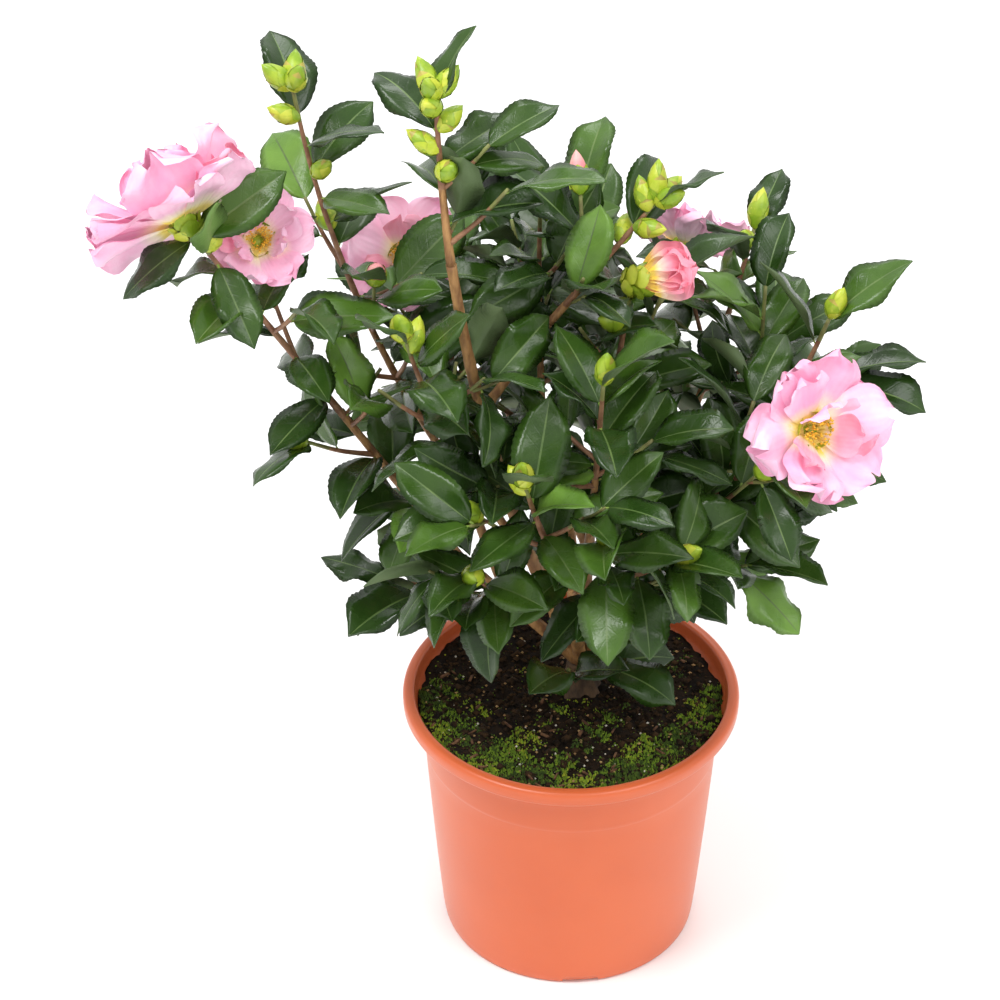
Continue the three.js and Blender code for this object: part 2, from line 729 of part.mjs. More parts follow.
const FINISH = {
  plastic: new THREE.MeshStandardMaterial({ color: 0xe9805a, roughness: 0.4, metalness: 0 }),
  soil: new THREE.MeshStandardMaterial({ color: 0x2a1d14, roughness: 0.95, metalness: 0 }),
  bark: new THREE.MeshStandardMaterial({ color: 0xa07a4c, roughness: 0.8, metalness: 0 }),
  foliage: new THREE.MeshStandardMaterial({ color: 0x33502a, roughness: 0.35, metalness: 0 }),
};

const plant = new THREE.Group();

function addPart(name, geometry, finish) {
  geometry.computeVertexNormals();
  const mesh = new THREE.Mesh(geometry, finish.clone());
  mesh.name = name;
  plant.add(mesh);
}

// Body radius of the pot's outer wall at a height.
function potRadius(z) {
  return POT.footRadius + (POT.neckRadius - POT.footRadius) * (z / POT.neckHeight) ** POT.swell;
}

function lathe(profile) {
  const points = profile.map(([radius, z]) => new THREE.Vector2(radius, z));
  const geometry = new THREE.LatheGeometry(points, POT.facets);
  geometry.rotateX(Math.PI / 2);
  return geometry;
}

function makePot() {
  const top = POT.height;
  const neck = POT.neckHeight;
  const inner = (z) => potRadius(z) - POT.wall;
  const outline = [
    [0, 0],
    [POT.footRadius - POT.footRound, 0],
    [POT.footRadius, POT.footRound],
    [potRadius(neck * 0.4), neck * 0.4],
    [potRadius(neck - POT.flare), neck - POT.flare],
    [POT.neckRadius + POT.rimRound / 2, neck],
    [POT.rimRadius - POT.rimRound, top - POT.rimLip],
    [POT.rimRadius, top - POT.rimLip + POT.rimRound],
    [POT.rimRadius, top - POT.rimRound],
    [POT.rimRadius - POT.rimRound, top],
    [POT.rimRadius - POT.rimWidth, top],
    [inner(neck), neck - POT.flare / 2],
    [inner(POT.floor + 1), POT.floor],
    [0, POT.floor],
  ];
  let pot = solidFromGeometry(lathe(outline));
  for (let k = 0; k < NOTCH.count; k += 1) {
    const azimuth = NOTCH.azimuth + (360 * k) / NOTCH.count;
    const notch = new THREE.BoxGeometry(NOTCH.depth, NOTCH.width, NOTCH.height * 2);
    notch.translate(POT.footRadius, 0, 0);
    notch.rotateZ(radians(azimuth));
    pot = pot.subtract(solidFromGeometry(notch));
  }
  for (let k = 0; k < DRAIN.count; k += 1) {
    const azimuth = radians((360 * (k + 0.5)) / DRAIN.count);
    const hole = new THREE.CylinderGeometry(DRAIN.radius, DRAIN.radius, POT.floor * 4, 8);
    hole.rotateX(Math.PI / 2);
    hole.translate(DRAIN.ring * Math.cos(azimuth), DRAIN.ring * Math.sin(azimuth), 0);
    pot = pot.subtract(solidFromGeometry(hole));
  }
  addPart('pot', geometryFromSolid(largestBody(pot)), FINISH.plastic);
}

// The soil fills the pot. Its top is level round the stem and uneven
// towards the wall.
function makeSoil() {
  const inner = (z) => potRadius(z) - POT.wall - FACET_GAP;
  const floor = POT.floor + GAP;
  const wall = inner(POT.neckHeight);
  const outline = [
    [0, floor],
    [inner(POT.floor + 1) - FACET_GAP, floor],
    [wall, POT.neckHeight - POT.flare],
    [wall, SOIL.top - SOIL.edgeDrop],
    [wall * SOIL.browShare, SOIL.top],
    [0, SOIL.top],
  ];
  const geometry = lathe(outline);
  geometry.deleteAttribute('normal');
  geometry.deleteAttribute('uv');
  const bare = mergeVertices(geometry, 1e-4);
  const position = bare.attributes.position;
  for (let i = 0; i < position.count; i += 1) {
    const x = position.getX(i);
    const y = position.getY(i);
    const uneven = Math.abs(Math.hypot(x, y) - wall * SOIL.browShare) < 1;
    if (!uneven || position.getZ(i) < SOIL.top - 1) continue;
    const acrossX = Math.sin(SOIL_WAVE.perX * x + SOIL_WAVE.startX);
    const acrossY = Math.cos(SOIL_WAVE.perY * y + SOIL_WAVE.startY);
    position.setZ(i, SOIL.top + SOIL.ripple * acrossX * acrossY - SOIL.sink);
  }
  addPart('soil', bare, FINISH.soil);
}

// The stem: a flared foot on the soil, and the root of each bough that
// parts from it.
function footRadii(extra) {
  return [0, 0.25, 0.5, 0.75, 1].map((share) => {
    const flare = (FOOT.soilRadius - FOOT.topRadius) * (1 - share) ** FOOT.flare;
    return FOOT.topRadius + flare + extra;
  });
}

function makeStem(limbs) {
  const path = limbs.get('stem').path.filter((_, i) => i % 2 === 0);
  const solids = [rod(path, footRadii(0), FOOT.sides)];
  for (const [name, parent] of BOUGHS) {
    if (parent !== 'stem') continue;
    solids.push(limbPiece(limbs.get(name), 0, STUB, 0));
  }
  return fuse(solids);
}

// The stretch of a limb between two distances from its root.
function limbPiece(limb, from, to, extra) {
  const length = pathLength(limb.path);
  const pieces = Math.max(1, Math.round((to - from) / LIMB.piece));
  const path = [];
  const radii = [];
  for (let i = 0; i <= pieces; i += 1) {
    const share = (from + ((to - from) * i) / pieces) / length;
    path.push(pointAlong(limb.path, share));
    radii.push(limb.root + (limb.tip - limb.root) * share + extra);
  }
  return rod(path, radii, LIMB.sides);
}

function makeBoughs(limbs, stem) {
  addPart('stem', geometryFromSolid(stem), FINISH.bark);
  for (const [name, parent] of BOUGHS) {
    const limb = limbs.get(name);
    const length = pathLength(limb.path);
    const parts = parent === 'stem';
    let solid = limbPiece(limb, parts ? STUB + GAP : 0, length, 0);
    if (!parts) {
      const carrier = limbs.get(parent);
      const wide = limbPiece(carrier, 0, pathLength(carrier.path), FACET_GAP);
      solid = largestBody(solid.subtract(wide));
    }
    addPart(`bough_${name}`, geometryFromSolid(solid), FINISH.bark);
  }
}

function budSolid(bud) {
  const length = BUD.length * bud.scale;
  const radius = (BUD.width * bud.scale) / 2;
  const shares = [0, BUD.widest, 1];
  const path = shares.map((share) => bud.base.clone().addScaledVector(bud.aim, length * share));
  return rod(path, [radius * BUD.baseShare, radius, 0], 4);
}

// Stems and twigs are three-sided, each in a few straight pieces.
function twigSolid(axis, index) {
  const path = index === 0 ? axis.path.filter((_, i) => i % 2 === 0) : axis.path;
  return taperedRod(path, axis.root, axis.tip, 3);
}

function bloomSolids(bloom) {
  const marks = [-CUP.back, 0, CUP.depth - CUP.back];
  const cup = marks.map((d) => bloom.centre.clone().addScaledVector(bloom.face, d));
  const solids = [rod(cup, [CUP.neckRadius, CUP.radius, CUP.lipRadius], CUP.sides)];
  for (const petal of bloom.petals) solids.push(bladeSolid(petal, PETAL.thickness));
  return solids;
}

function makeMass(mass, limbs) {
  const solids = mass.axes.map(twigSolid);
  for (const bud of mass.buds) solids.push(budSolid(bud));
  for (const bloom of mass.blooms) solids.push(...bloomSolids(bloom));
  for (const leaf of mass.leaves) solids.push(bladeSolid(leaf, LEAF.thickness));
  const carrier = limbs.get(mass.name);
  const onStem = mass.name === 'stem';
  const wide = onStem
    ? rod(carrier.path.filter((_, i) => i % 2 === 0), footRadii(FACET_GAP), FOOT.sides)
    : limbPiece(carrier, 0, pathLength(carrier.path) + GAP, FACET_GAP);
  const whole = largestBody(fuse(solids).subtract(wide));
  const name = onStem ? 'leaves_at_foot' : `leaves_${mass.name}`;
  addPart(name, geometryFromSolid(whole), FINISH.foliage);
}

const limbs = growLimbs();
const stemSolid = makeStem(limbs);
makePot();
makeSoil();
makeBoughs(limbs, stemSolid);
for (const mass of growMasses(limbs)) makeMass(mass, limbs);

export default plant;
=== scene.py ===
# A flowering camellia shrub in its plastic nursery pot, dressed over the
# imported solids. The shrub is grown here again by the rule that grew the
# solids, and carried on to finer twigs and more leaves. Growth works in
# millimetres, +Z up from the middle of the pot's underside. Meshes are made
# in metres.

import math
from collections import namedtuple

import bpy
import numpy as np
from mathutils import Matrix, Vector


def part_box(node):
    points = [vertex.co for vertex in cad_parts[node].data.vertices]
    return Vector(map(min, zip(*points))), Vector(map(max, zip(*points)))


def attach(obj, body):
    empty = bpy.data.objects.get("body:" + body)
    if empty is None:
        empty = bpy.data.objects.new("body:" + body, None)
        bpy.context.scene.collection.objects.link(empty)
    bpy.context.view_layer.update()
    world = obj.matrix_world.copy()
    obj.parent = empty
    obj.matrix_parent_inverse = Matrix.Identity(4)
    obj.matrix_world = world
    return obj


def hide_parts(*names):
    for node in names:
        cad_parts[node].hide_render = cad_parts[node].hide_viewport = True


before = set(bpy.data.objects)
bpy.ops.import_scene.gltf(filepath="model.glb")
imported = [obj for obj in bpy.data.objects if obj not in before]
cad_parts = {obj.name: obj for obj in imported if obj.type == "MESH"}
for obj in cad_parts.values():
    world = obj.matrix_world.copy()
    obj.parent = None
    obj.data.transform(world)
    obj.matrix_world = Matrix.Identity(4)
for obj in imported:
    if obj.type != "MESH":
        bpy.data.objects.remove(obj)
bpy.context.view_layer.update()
MM = 0.001

# ---- sizes

POT_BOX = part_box("pot")
POT_HEIGHT = POT_BOX[1].z / MM
RIM_RADIUS = POT_BOX[1].x / MM
POT = {"foot": 72.2, "neck": 84.6, "neck_height": 147.5, "wall": 2.2, "floor": 3.0, "swell": 0.86}
RIM = {"lip": 9.5, "bead": 3.1}
STEP = {"height": 123.0, "out": 0.45}  # a moulded line round the body
INNER_EDGE = 86.9  # the inner wall's radius where the soil meets it
EDGE_HEIGHT = 150.2
NOTCH = {"count": 4, "width": 23.0, "taper": 3.0, "height": 2.6, "depth": 9.0, "azimuth": -84}
DRAIN = {"count": 6, "radius": 5.0, "ring": 46.0, "sides": 24}
POT_SIDES = 144

SOIL_TOP = 149.0
SOIL_SIDES = 180
SOIL_RINGS = 60
FOOT = {"x": 5, "y": 12, "height": 20, "soil_radius": 13, "top_radius": 7.5, "flare": 2.4, "sides": 40}
GAP = 0.3

GOLDEN_ANGLE = 137.5
LEAF = {"length": 53, "ratio": 0.47, "spacing": 16.3, "spread": 58, "fold": 14}
SKYWARD = 0.7  # how strongly a leaf's upper side turns to the sky
# How one leaf differs from the next: length and spread are factors, sag is
# how far it hangs, facing is how far its upper side turns outward, and the
# rest is in degrees.
LEAF_VARIES = {
    "length": (0.84, 1.14), "jitter": (-16, 16), "spread": (0.8, 1.2), "droop": (14, 52),
    "roll": (-22, 22), "sag": (0, 0.5), "facing": (0.15, 0.75),
}
BUD = {"length": 19, "width": 12.5, "side_scale": 0.92}
BUD_COUNTS = {"bud": 1, "pink bud": 1, "buds": 3}
BUD_MARKS = (5, 10, 15, 18)
TIP_BUDS = {"splay": 0.75, "alone_splay": 0.1, "turn": 60, "apart": 120}
SIDE_BUDS = {"highest": 0.93, "apart": 0.13, "turn": 180, "upright": 0.7}
STEM = {"tip": 1.1, "bare": 0.1}  # bare: share of its length with no leaves
FOOT_STEM = {"seat": 0.55, "root": 1.5, "bare": 0.35}
SHOOT = {"root": 1.5, "tip": 1.0, "bare": 0.22, "steps": 2, "bow": 14}
# The twigs that the seeded rule adds along the lower part of a stem.
TWIG = {
    "lowest": 0.06, "stretch": 0.5, "within": (0.3, 0.7), "turn": 70, "jitter": (-20, 20),
    "lean": (45, 66), "length": (30, 50),
}
TIP_SPREAD = (0.35, 0.75, 0.75)  # leaves close in round a twig's tip
FIRST_LEAF = 0.25  # how many leaf gaps the first leaf stands from the tip
STEPS = 8
NEXT_TO_NOTHING = 0.02
MARK_SPACING = 4
ROOT_MARKS = 3  # points at a shoot's root that may touch its own wood
GRID_SHARES = np.array([0.15, 0.28, 0.41, 0.54, 0.67, 0.8, 0.92, 1.0])
GRID_SIDES = np.array([-1, -0.5, 0, 0.5, 1])
SEED = {
    "mass": 4001, "finer": 9001, "step": 97, "bark": 311, "twigs": 577, "leaves": 733, "buds": 911,
    "blooms": 1201, "soil": 1511,
}
TRIES = (0, 24, -24, 48, -48, 75, -75)
CLEAR = {"limb": 3, "twig": 5, "other_mass": 7, "own_mass": 4, "pot": 3, "soil": 1.5, "far_apart": 90}

# The finer growth that the solids leave out: short twigs with small leaves,
# and more leaves between theirs. None of it reaches more than `past` outside
# the box round the mass's solid. The open masses, where sky shows through,
# get a share of the twigs and no more leaves.
FINER = {
    "past": 1, "ease": 0.7, "twig_gap": 62, "jitter": (-40, 40), "lean": (35, 75), "length": (14, 26),
    "root": 1.1, "tip": 0.8, "bare": 0.3, "highest": 0.94, "leaves": (0.98, 0.7, 0.42), "leaf_size": 0.9,
    "leaf_gap": 48, "extra_size": (0.7, 1.0), "extra_turn": 60, "open_share": 0.4,
}
OPEN_MASSES = ("left", "upright", "low_left", "crown", "slant")
BLOOM_VIEW = {"depth": 150, "widening": 0.3}  # the open space in front of a bloom

# Each bough: its parent and the share of the parent's length where it
# leaves, its azimuth and lean in degrees, its length, how far it straightens
# up on the way, and its radius at the root and at the tip.
BOUGHS = [
    ("left", "stem", 1, -168, 40, 105, 2, 4.0, 2.8),
    ("upright", "left", 0.6, 135, 30, 70, 8, 2.8, 2.3),
    ("low_left", "left", 0.42, 178, 60, 30, 0, 2.2, 1.8),
    ("crown", "stem", 1, -138, 17, 318, 16, 4.2, 2.6),
    ("slant", "crown", 0.68, 30, 43, 58, 0, 2.6, 2.2),
    ("mid_left", "crown", 0.3, -165, 30, 50, 4, 2.6, 2.2),
    ("front_left", "crown", 0.16, -135, 50, 50, 6, 2.4, 1.9),
    ("front", "stem", 1, -97, 28, 95, 8, 4.0, 2.6),
    ("middle", "front", 0.7, -60, 14, 60, 4, 2.8, 2.3),
    ("front_right", "front", 0.5, -52, 36, 50, 6, 2.6, 2.0),
    ("right", "stem", 1, -42, 24, 85, 6, 4.0, 2.8),
    ("low_right", "right", 0.5, -22, 46, 50, 4, 2.4, 1.9),
    ("far_right", "stem", 1, 3, 38, 100, 8, 4.0, 2.7),
    ("half", "stem", 1, 70, 8, 110, 6, 3.8, 2.7),
    ("top", "half", 0.65, 160, 24, 65, 8, 2.8, 2.3),
    ("rear_left", "stem", 1, 138, 30, 120, 8, 3.8, 2.6),
    ("rear", "stem", 1, 98, 38, 110, 10, 3.8, 2.6),
    ("rear_right", "stem", 1, 45, 36, 115, 8, 3.8, 2.6),
    ("rear_low", "rear", 0.5, 120, 60, 45, 6, 2.4, 1.9),
]

# Each mass: the bough it grows on, its stem's azimuth, lean, length and
# bow, the azimuth of its first leaf, how far round the stem the leaves
# turn, what the tip carries, the buds beside the tip, the side shoots, and
# how many more twigs the seeded rule adds. A side shoot: share of the
# stem's length, azimuth, lean, length, azimuth of its first leaf, and what
# its tip carries if that isn't a leaf.
MASSES = [
    ("left", -172, 32, 266, 0, -150, 1, "wide bloom", 1, [
        (0.33, -151, 62, 46, -100, "bud"), (0.62, 135, 26, 66, 200, "small bloom"),
        (0.7, -50, 42, 34, -60), (0.42, -60, 40, 40, -60),
    ], 2),
    ("upright", 174, 20, 264, 24, 10, 0.55, "buds", 3, [
        (0.55, 140, 40, 50, 90), (0.42, -85, 34, 66, -70, "pink bud"),
        (0.3, -100, 42, 60, -90, "bud"),
    ], 3),
    ("low_left", 178, 80, 57, 6, 120, 1, "leaf", 0, [
        (0.35, 120, 55, 40, 120), (0.25, -130, 60, 36, -150),
    ], 0),
    ("crown", 130, 7, 94, 8, 70, 0.45, "buds", 4, [
        (0.12, -10, 40, 48, 0), (0.45, 10, 45, 34, 30),
    ], 0),
    ("slant", 24, 45, 85, 0, 0, 0.7, "buds", 3, [
        (0.35, 100, 25, 46, 60, "pink bud"), (0.15, -60, 35, 34, -90),
    ], 0),
    ("mid_left", -134, 24, 146, 12, -120, 1, "bud", 1, [
        (0.5, -170, 50, 44, 180), (0.6, -20, 45, 40, -40),
    ], 2),
    ("front_left", -104, 48, 76, 10, -150, 1, "bud", 0, [
        (0.4, -165, 60, 32, -160), (0.5, -60, 50, 26, -50),
    ], 0),
    ("front", -111, 31, 135, 10, -60, 1, "bud", 1, [
        (0.45, -150, 50, 54, -140, "bud"), (0.55, -50, 45, 44, -40),
    ], 1),
    ("middle", -81, 17, 136, 8, 0, 1, "bud", 0, [
        (0.45, -20, 45, 44, 0), (0.55, 170, 45, 40, 180),
    ], 2),
    ("front_right", -93, 37, 101, 10, -90, 1, "bud", 0, [
        (0.35, -44, 50, 62, -60, "bud"),
    ], 1),
    ("right", -23, 38, 160, -12, -52, 1, "right bloom", 1, [
        (0.35, -47, 42, 80, -40, "bud"), (0.55, 40, 25, 54, 60),
    ], 1),
    ("low_right", -12, 40, 74, 6, -60, 1, "leaf", 0, [
        (0.3, -60, 60, 35, -60), (0.4, 40, 55, 40, 30),
    ], 0),
    ("far_right", -13, 23, 177, 10, 10, 1, "bud", 0, [
        (0.4, 80, 15, 100, 60), (0.55, 10, 45, 44, 0), (0.65, -60, 35, 40, -90),
        (0.3, -20, 60, 50, -20),
    ], 1),
    ("half", -63, 15, 166, 0, -110, 1, "half bloom", 2, [
        (0.5, 30, 30, 64, 30), (0.6, -150, 35, 40, -150),
    ], 3),
    ("top", 131, 2, 155, 8, 130, 1, "leaf", 0, [
        (0.55, 120, 35, 55, 90), (0.7, -60, 40, 44, -60),
    ], 3),
    ("rear_left", 153, 27, 133, 8, 120, 1, "shaded bloom", 1, [
        (0.4, 150, 45, 60, 150), (0.5, 90, 35, 60, 90, "bud"),
    ], 2),
    ("rear", 95, 30, 150, 14, 60, 1, "buds", 1, [
        (0.35, 10, 40, 60, 20), (0.4, 170, 45, 64, 160), (0.55, 60, 40, 50, 90),
    ], 2),
    ("rear_right", 50, 28, 150, 12, 60, 1, "bud", 1, [
        (0.35, -20, 45, 60, 0), (0.45, 110, 45, 66, 120, "rear bloom"),
    ], 2),
    ("rear_low", 115, 55, 80, 14, 150, 1, "bud", 0, [
        (0.3, 60, 60, 55, 60), (0.4, 170, 55, 50, 170),
    ], 0),
    ("stem", -104, 50, 36, 20, -140, 1, "leaf", 0, [
        (0.45, -35, 55, 24, -40),
    ], 0),
]

# Petals of a bloom, layer by layer: how many, their tilt away from the
# bloom's axis, their length as a share of its radius, and the first azimuth.
OPEN_PETALS = [(6, 70, 1, 0), (3, 38, 0.72, 30)]
HALF_PETALS = [(4, 30, 1, 20)]
PETAL = {"ratio": 0.64, "seat": 3}
PETAL_VARIES = {"around": (-9, 9), "tilt": (-7, 7), "length": (0.92, 1.06), "droop": (-30, 12)}
CUP_SEAT = 3

# Each bloom: its radius, the azimuth and lean of its face, and its petals.
BLOOMS = {
    "wide bloom": (51, 130, 50, OPEN_PETALS),
    "small bloom": (29, -70, 45, OPEN_PETALS),
    "shaded bloom": (35, -100, 40, OPEN_PETALS),
    "right bloom": (41, -56, 62, OPEN_PETALS),
    "rear bloom": (36, 70, 50, OPEN_PETALS),
    "half bloom": (32, 4, 74, HALF_PETALS),
}

# More petals for a bloom, layer by layer: how many, their tilt away from the
# bloom's axis, their length as a share of its radius, and the limits of how
# far they bend back, which is below nought where they curl in.
FULLER = {
    "wide bloom": [(7, 76, 1.04, -10, 34), (6, 56, 1.06, -20, 30), (5, 32, 0.9, -34, 10)],
    "small bloom": [(3, 62, 0.92, -34, 18), (3, 40, 0.6, -34, 18)],
    "right bloom": [(4, 74, 1.06, 0, 40), (3, 54, 0.9, -20, 24)],
    "half bloom": [(5, 34, 1.0, -95, -60), (5, 22, 1.05, -95, -60), (3, 10, 0.9, -95, -60)],
    "any": [(3, 62, 0.94, -34, 18)],
}
LOOSE_PETAL = {"around": (-20, 20), "tilt": (-8, 8), "length": (0.88, 1.0), "ratio": (0.6, 0.78), "seat": 2.2}

# Leaves close round a bloom: the mass, the share of its stem, the azimuth
# and lean of the leaf and of its upper side, its length and its droop.
BLOOM_LEAVES = [
    ("left", 0.97, 24, 60, -90, 52, 58, 8),
    ("left", 0.97, -160, 116, -90, 24, 52, 30),
    ("left", 0.9, -60, 120, -90, 30, 50, 25),
    ("right", 0.985, 70, 62, -100, 40, 50, 30),
]

# ---- paths


def unit(v):
    return v / np.linalg.norm(v)


def heading(azimuth, lean):
    a, b = math.radians(azimuth), math.radians(lean)
    return np.array([math.sin(b) * math.cos(a), math.sin(b) * math.sin(a), math.cos(b)])


def arc_path(start, azimuth, lean, length, bow, steps=STEPS):
    """An arc that starts leaning by lean + bow / 2 and ends at lean - bow / 2."""
    path = [np.array(start, float)]
    for i in range(steps):
        lean_here = lean + bow * (0.5 - (i + 0.5) / steps)
        path.append(path[i] + heading(azimuth, lean_here) * (length / steps))
    return np.array(path)


def point_along(path, share):
    place = share * (len(path) - 1)
    i = min(int(place), len(path) - 2)
    return path[i] + (path[i + 1] - path[i]) * (place - i)


def direction_along(path, share):
    i = min(int(share * (len(path) - 1)), len(path) - 2)
    return unit(path[i + 1] - path[i])


def path_length(path):
    return float(np.linalg.norm(np.diff(path, axis=0), axis=1).sum())


def dense_points(path):
    """Points at most MARK_SPACING apart along a path, and the share of each."""
    count = math.ceil(path_length(path) / MARK_SPACING)
    shares = np.arange(count + 1) / count
    return np.array([point_along(path, s) for s in shares]), shares


def outward(axis, azimuth):
    """The part of azimuth's horizontal direction that is square to an axis, or
    straight up where next to nothing of it is."""
    flat = heading(azimuth, 90)
    flat = flat - axis * flat.dot(axis)
    return np.array([0.0, 0.0, 1.0]) if flat.dot(flat) < NEXT_TO_NOTHING else unit(flat)


def turned(axes, angle):
    """Directions at angles, in radians, from the first of two axes to the second."""
    return axes[0] * np.cos(angle)[..., None] + axes[1] * np.sin(angle)[..., None]


def axes_round(aim):
    side = unit(np.cross(aim, (0.2, 0.35, 0.91)))
    return side, np.cross(aim, side)


def flat_axes(angle):
    """The level directions outward and round at an angle, in radians."""
    return np.array([math.cos(angle), math.sin(angle), 0]), np.array([-math.sin(angle), math.cos(angle), 0])


MULTIPLIER, MODULUS = 16807, 2147483647


def seeded(seed):
    """A stream of seeded numbers between two limits."""
    state = seed

    def draw(low, high):
        nonlocal state
        state = (state * MULTIPLIER) % MODULUS
        return low + ((high - low) * state) / MODULUS

    return draw


def smooth_step(low, high, value):
    t = np.clip((value - low) / (high - low), 0, 1)
    return t * t * (3 - 2 * t)


# ---- blades


class Blade:
    """A leaf or petal: a blade that bends away from its upper side by droop
    degrees from base to tip, folded up a little along its midrib."""

    def __init__(self, base, along, up, length, width, droop, kind):
        self.base = base
        self.along = along
        self.up = up
        self.across = np.cross(along, up)
        self.length = length
        self.width = width
        self.bend = math.radians(0.1 if abs(droop) < 0.1 else droop)
        self.fold, self.outline = kind

    def place(self, share, reach, lift):
        """Points at a share of the length, a reach across and a lift off the face."""
        turn = self.bend * share
        forward = self.length * np.sin(turn) / self.bend
        down = self.length * (1 - np.cos(turn)) / self.bend
        rise = np.abs(reach) * math.tan(math.radians(self.fold)) + lift
        along = self.along * (forward + rise * np.sin(turn))[..., None]
        up = self.up * (rise * np.cos(turn) - down)[..., None]
        return self.base + along + up + self.across * reach[..., None]

    def samples(self):
        """The point grid that stands for the blade when its room is tested."""
        share, side = np.meshgrid(GRID_SHARES, GRID_SIDES, indexing="ij")
        reach = side * self.width * self.outline(share) / 2
        return self.place(share, reach, np.zeros_like(share)).reshape(-1, 3)


def leaf_room_outline(share):
    t = np.clip((share - 0.09) / 0.91, 0, 1)
    blade = 0.1 * (1 - t) + 0.95 * np.maximum(np.sin(np.pi * t**0.9), 0) ** 0.85
    return np.where(share < 0.09, 0.1, blade)


def petal_room_outline(share):
    return 0.14 * (1 - share) + np.maximum(np.sin(np.pi * np.minimum(1, share) ** 1.7), 0) ** 0.6


LEAF_KIND = (LEAF["fold"], leaf_room_outline)
PETAL_KIND = (-8, petal_room_outline)


def make_leaf(base, along, up, length, droop):
    return Blade(base, along, up, length, length * LEAF["ratio"], droop, LEAF_KIND)


def make_petal(bloom, axes, around, tilt, length, width, droop, seat):
    """A petal at an angle round a bloom's centre, tilted away from its face."""
    radial = turned(axes, np.radians(around))
    a = math.radians(tilt)
    along = bloom.face * math.cos(a) + radial * math.sin(a)
    up = bloom.face * math.sin(a) - radial * math.cos(a)
    return Blade(bloom.centre + radial * seat, along, up, length, width, droop, PETAL_KIND)


# ---- growth

Limb = namedtuple("Limb", "path root tip")
Axis = namedtuple("Axis", "path root tip bare turn swing carries rank beside_tip", defaults=(0,))
Mass = namedtuple("Mass", "name draw axes leaves buds blooms")
Bloom = namedtuple("Bloom", "centre face radius petals carries")
Bud = namedtuple("Bud", "base aim scale pink")


def grow_limbs():
    foot = (FOOT["x"], FOOT["y"], SOIL_TOP + GAP)
    path = arc_path(foot, 0, 0, FOOT["height"], 0)
    limbs = {"stem": Limb(path, FOOT["soil_radius"], FOOT["top_radius"])}
    for name, parent, share, azimuth, lean, length, bow, root, tip in BOUGHS:
        path = arc_path(point_along(limbs[parent].path, share), azimuth, lean, length, bow)
        limbs[name] = Limb(path, root, tip)
    return limbs


def grow_stem(row, limbs):
    """The stem of a mass, from its bough's tip or out of the shrub's own stem."""
    bough, azimuth, lean, length, bow, turn, swing, carries, beside_tip = row[:9]
    limb = limbs[bough]
    seat, root, bare = 1, limb.tip, STEM["bare"]
    if bough == "stem":
        seat, root, bare = FOOT_STEM.values()
    path = arc_path(point_along(limb.path, seat), azimuth, lean, length, bow)
    return Axis(path, root, STEM["tip"], bare, turn, swing, carries, 0, beside_tip)


def grow_shoots(row, stem, draw, room):
    """The side shoots of a mass, then the twigs that the seeded rule adds."""
    plans = list(row[9])
    twigs = row[10]
    for k in range(twigs):
        share = TWIG["lowest"] + (TWIG["stretch"] * (k + draw(*TWIG["within"]))) / twigs
        azimuth = stem.turn + TWIG["turn"] + GOLDEN_ANGLE * k + draw(*TWIG["jitter"])
        lean = draw(*TWIG["lean"])
        plans.append((share, azimuth, lean, draw(*TWIG["length"]), azimuth))
    grown = []
    for share, azimuth, lean, length, first, *carries in plans:
        path = room.clear_path(point_along(stem.path, share), azimuth, lean, length, row[0])
        if path is None:
            continue
        carried = carries[0] if carries else "leaf"
        shoot = Axis(path, SHOOT["root"], SHOOT["tip"], SHOOT["bare"], first, stem.swing, carried, 1)
        room.add_axis(shoot, row[0])
        grown.append(shoot)
    return grown


def grow_bloom(axis, draw):
    """Petals of a bloom that sits on the end of an axis."""
    radius, azimuth, lean, layers = BLOOMS[axis.carries]
    face = heading(azimuth, lean)
    centre = point_along(axis.path, 1) + face * CUP_SEAT
    bloom = Bloom(centre, face, radius, [], axis.carries)
    side = unit(np.cross(face, (0, 0, 1)))
    axes = (side, np.cross(face, side))
    for count, tilt, share, first in layers:
        for k in range(count):
            around = first + (360 * k) / count + draw(*PETAL_VARIES["around"])
            tilted = tilt + draw(*PETAL_VARIES["tilt"])
            length = radius * share * draw(*PETAL_VARIES["length"])
            droop = draw(*PETAL_VARIES["droop"])
            width = length * PETAL["ratio"]
            bloom.petals.append(make_petal(bloom, axes, around, tilted, length, width, droop, PETAL["seat"]))
    return bloom


def grow_buds(axis):
    """Buds at the end of an axis and in the leaf corners beside it."""
    buds = []
    count = BUD_COUNTS.get(axis.carries, 0)
    end = point_along(axis.path, 1)
    along = direction_along(axis.path, 1)
    for k in range(count):
        splay = TIP_BUDS["splay"] if count > 1 else TIP_BUDS["alone_splay"]
        out = outward(along, axis.turn + TIP_BUDS["turn"] + TIP_BUDS["apart"] * k)
        buds.append(Bud(end, unit(along + out * splay), 1, axis.carries == "pink bud"))
    for k in range(axis.beside_tip):
        share = SIDE_BUDS["highest"] - SIDE_BUDS["apart"] * k
        here = direction_along(axis.path, share)
        out = outward(here, axis.turn + SIDE_BUDS["turn"] + GOLDEN_ANGLE * k)
        aim = unit(here * SIDE_BUDS["upright"] + out)
        buds.append(Bud(point_along(axis.path, share), aim, BUD["side_scale"], False))
    return buds


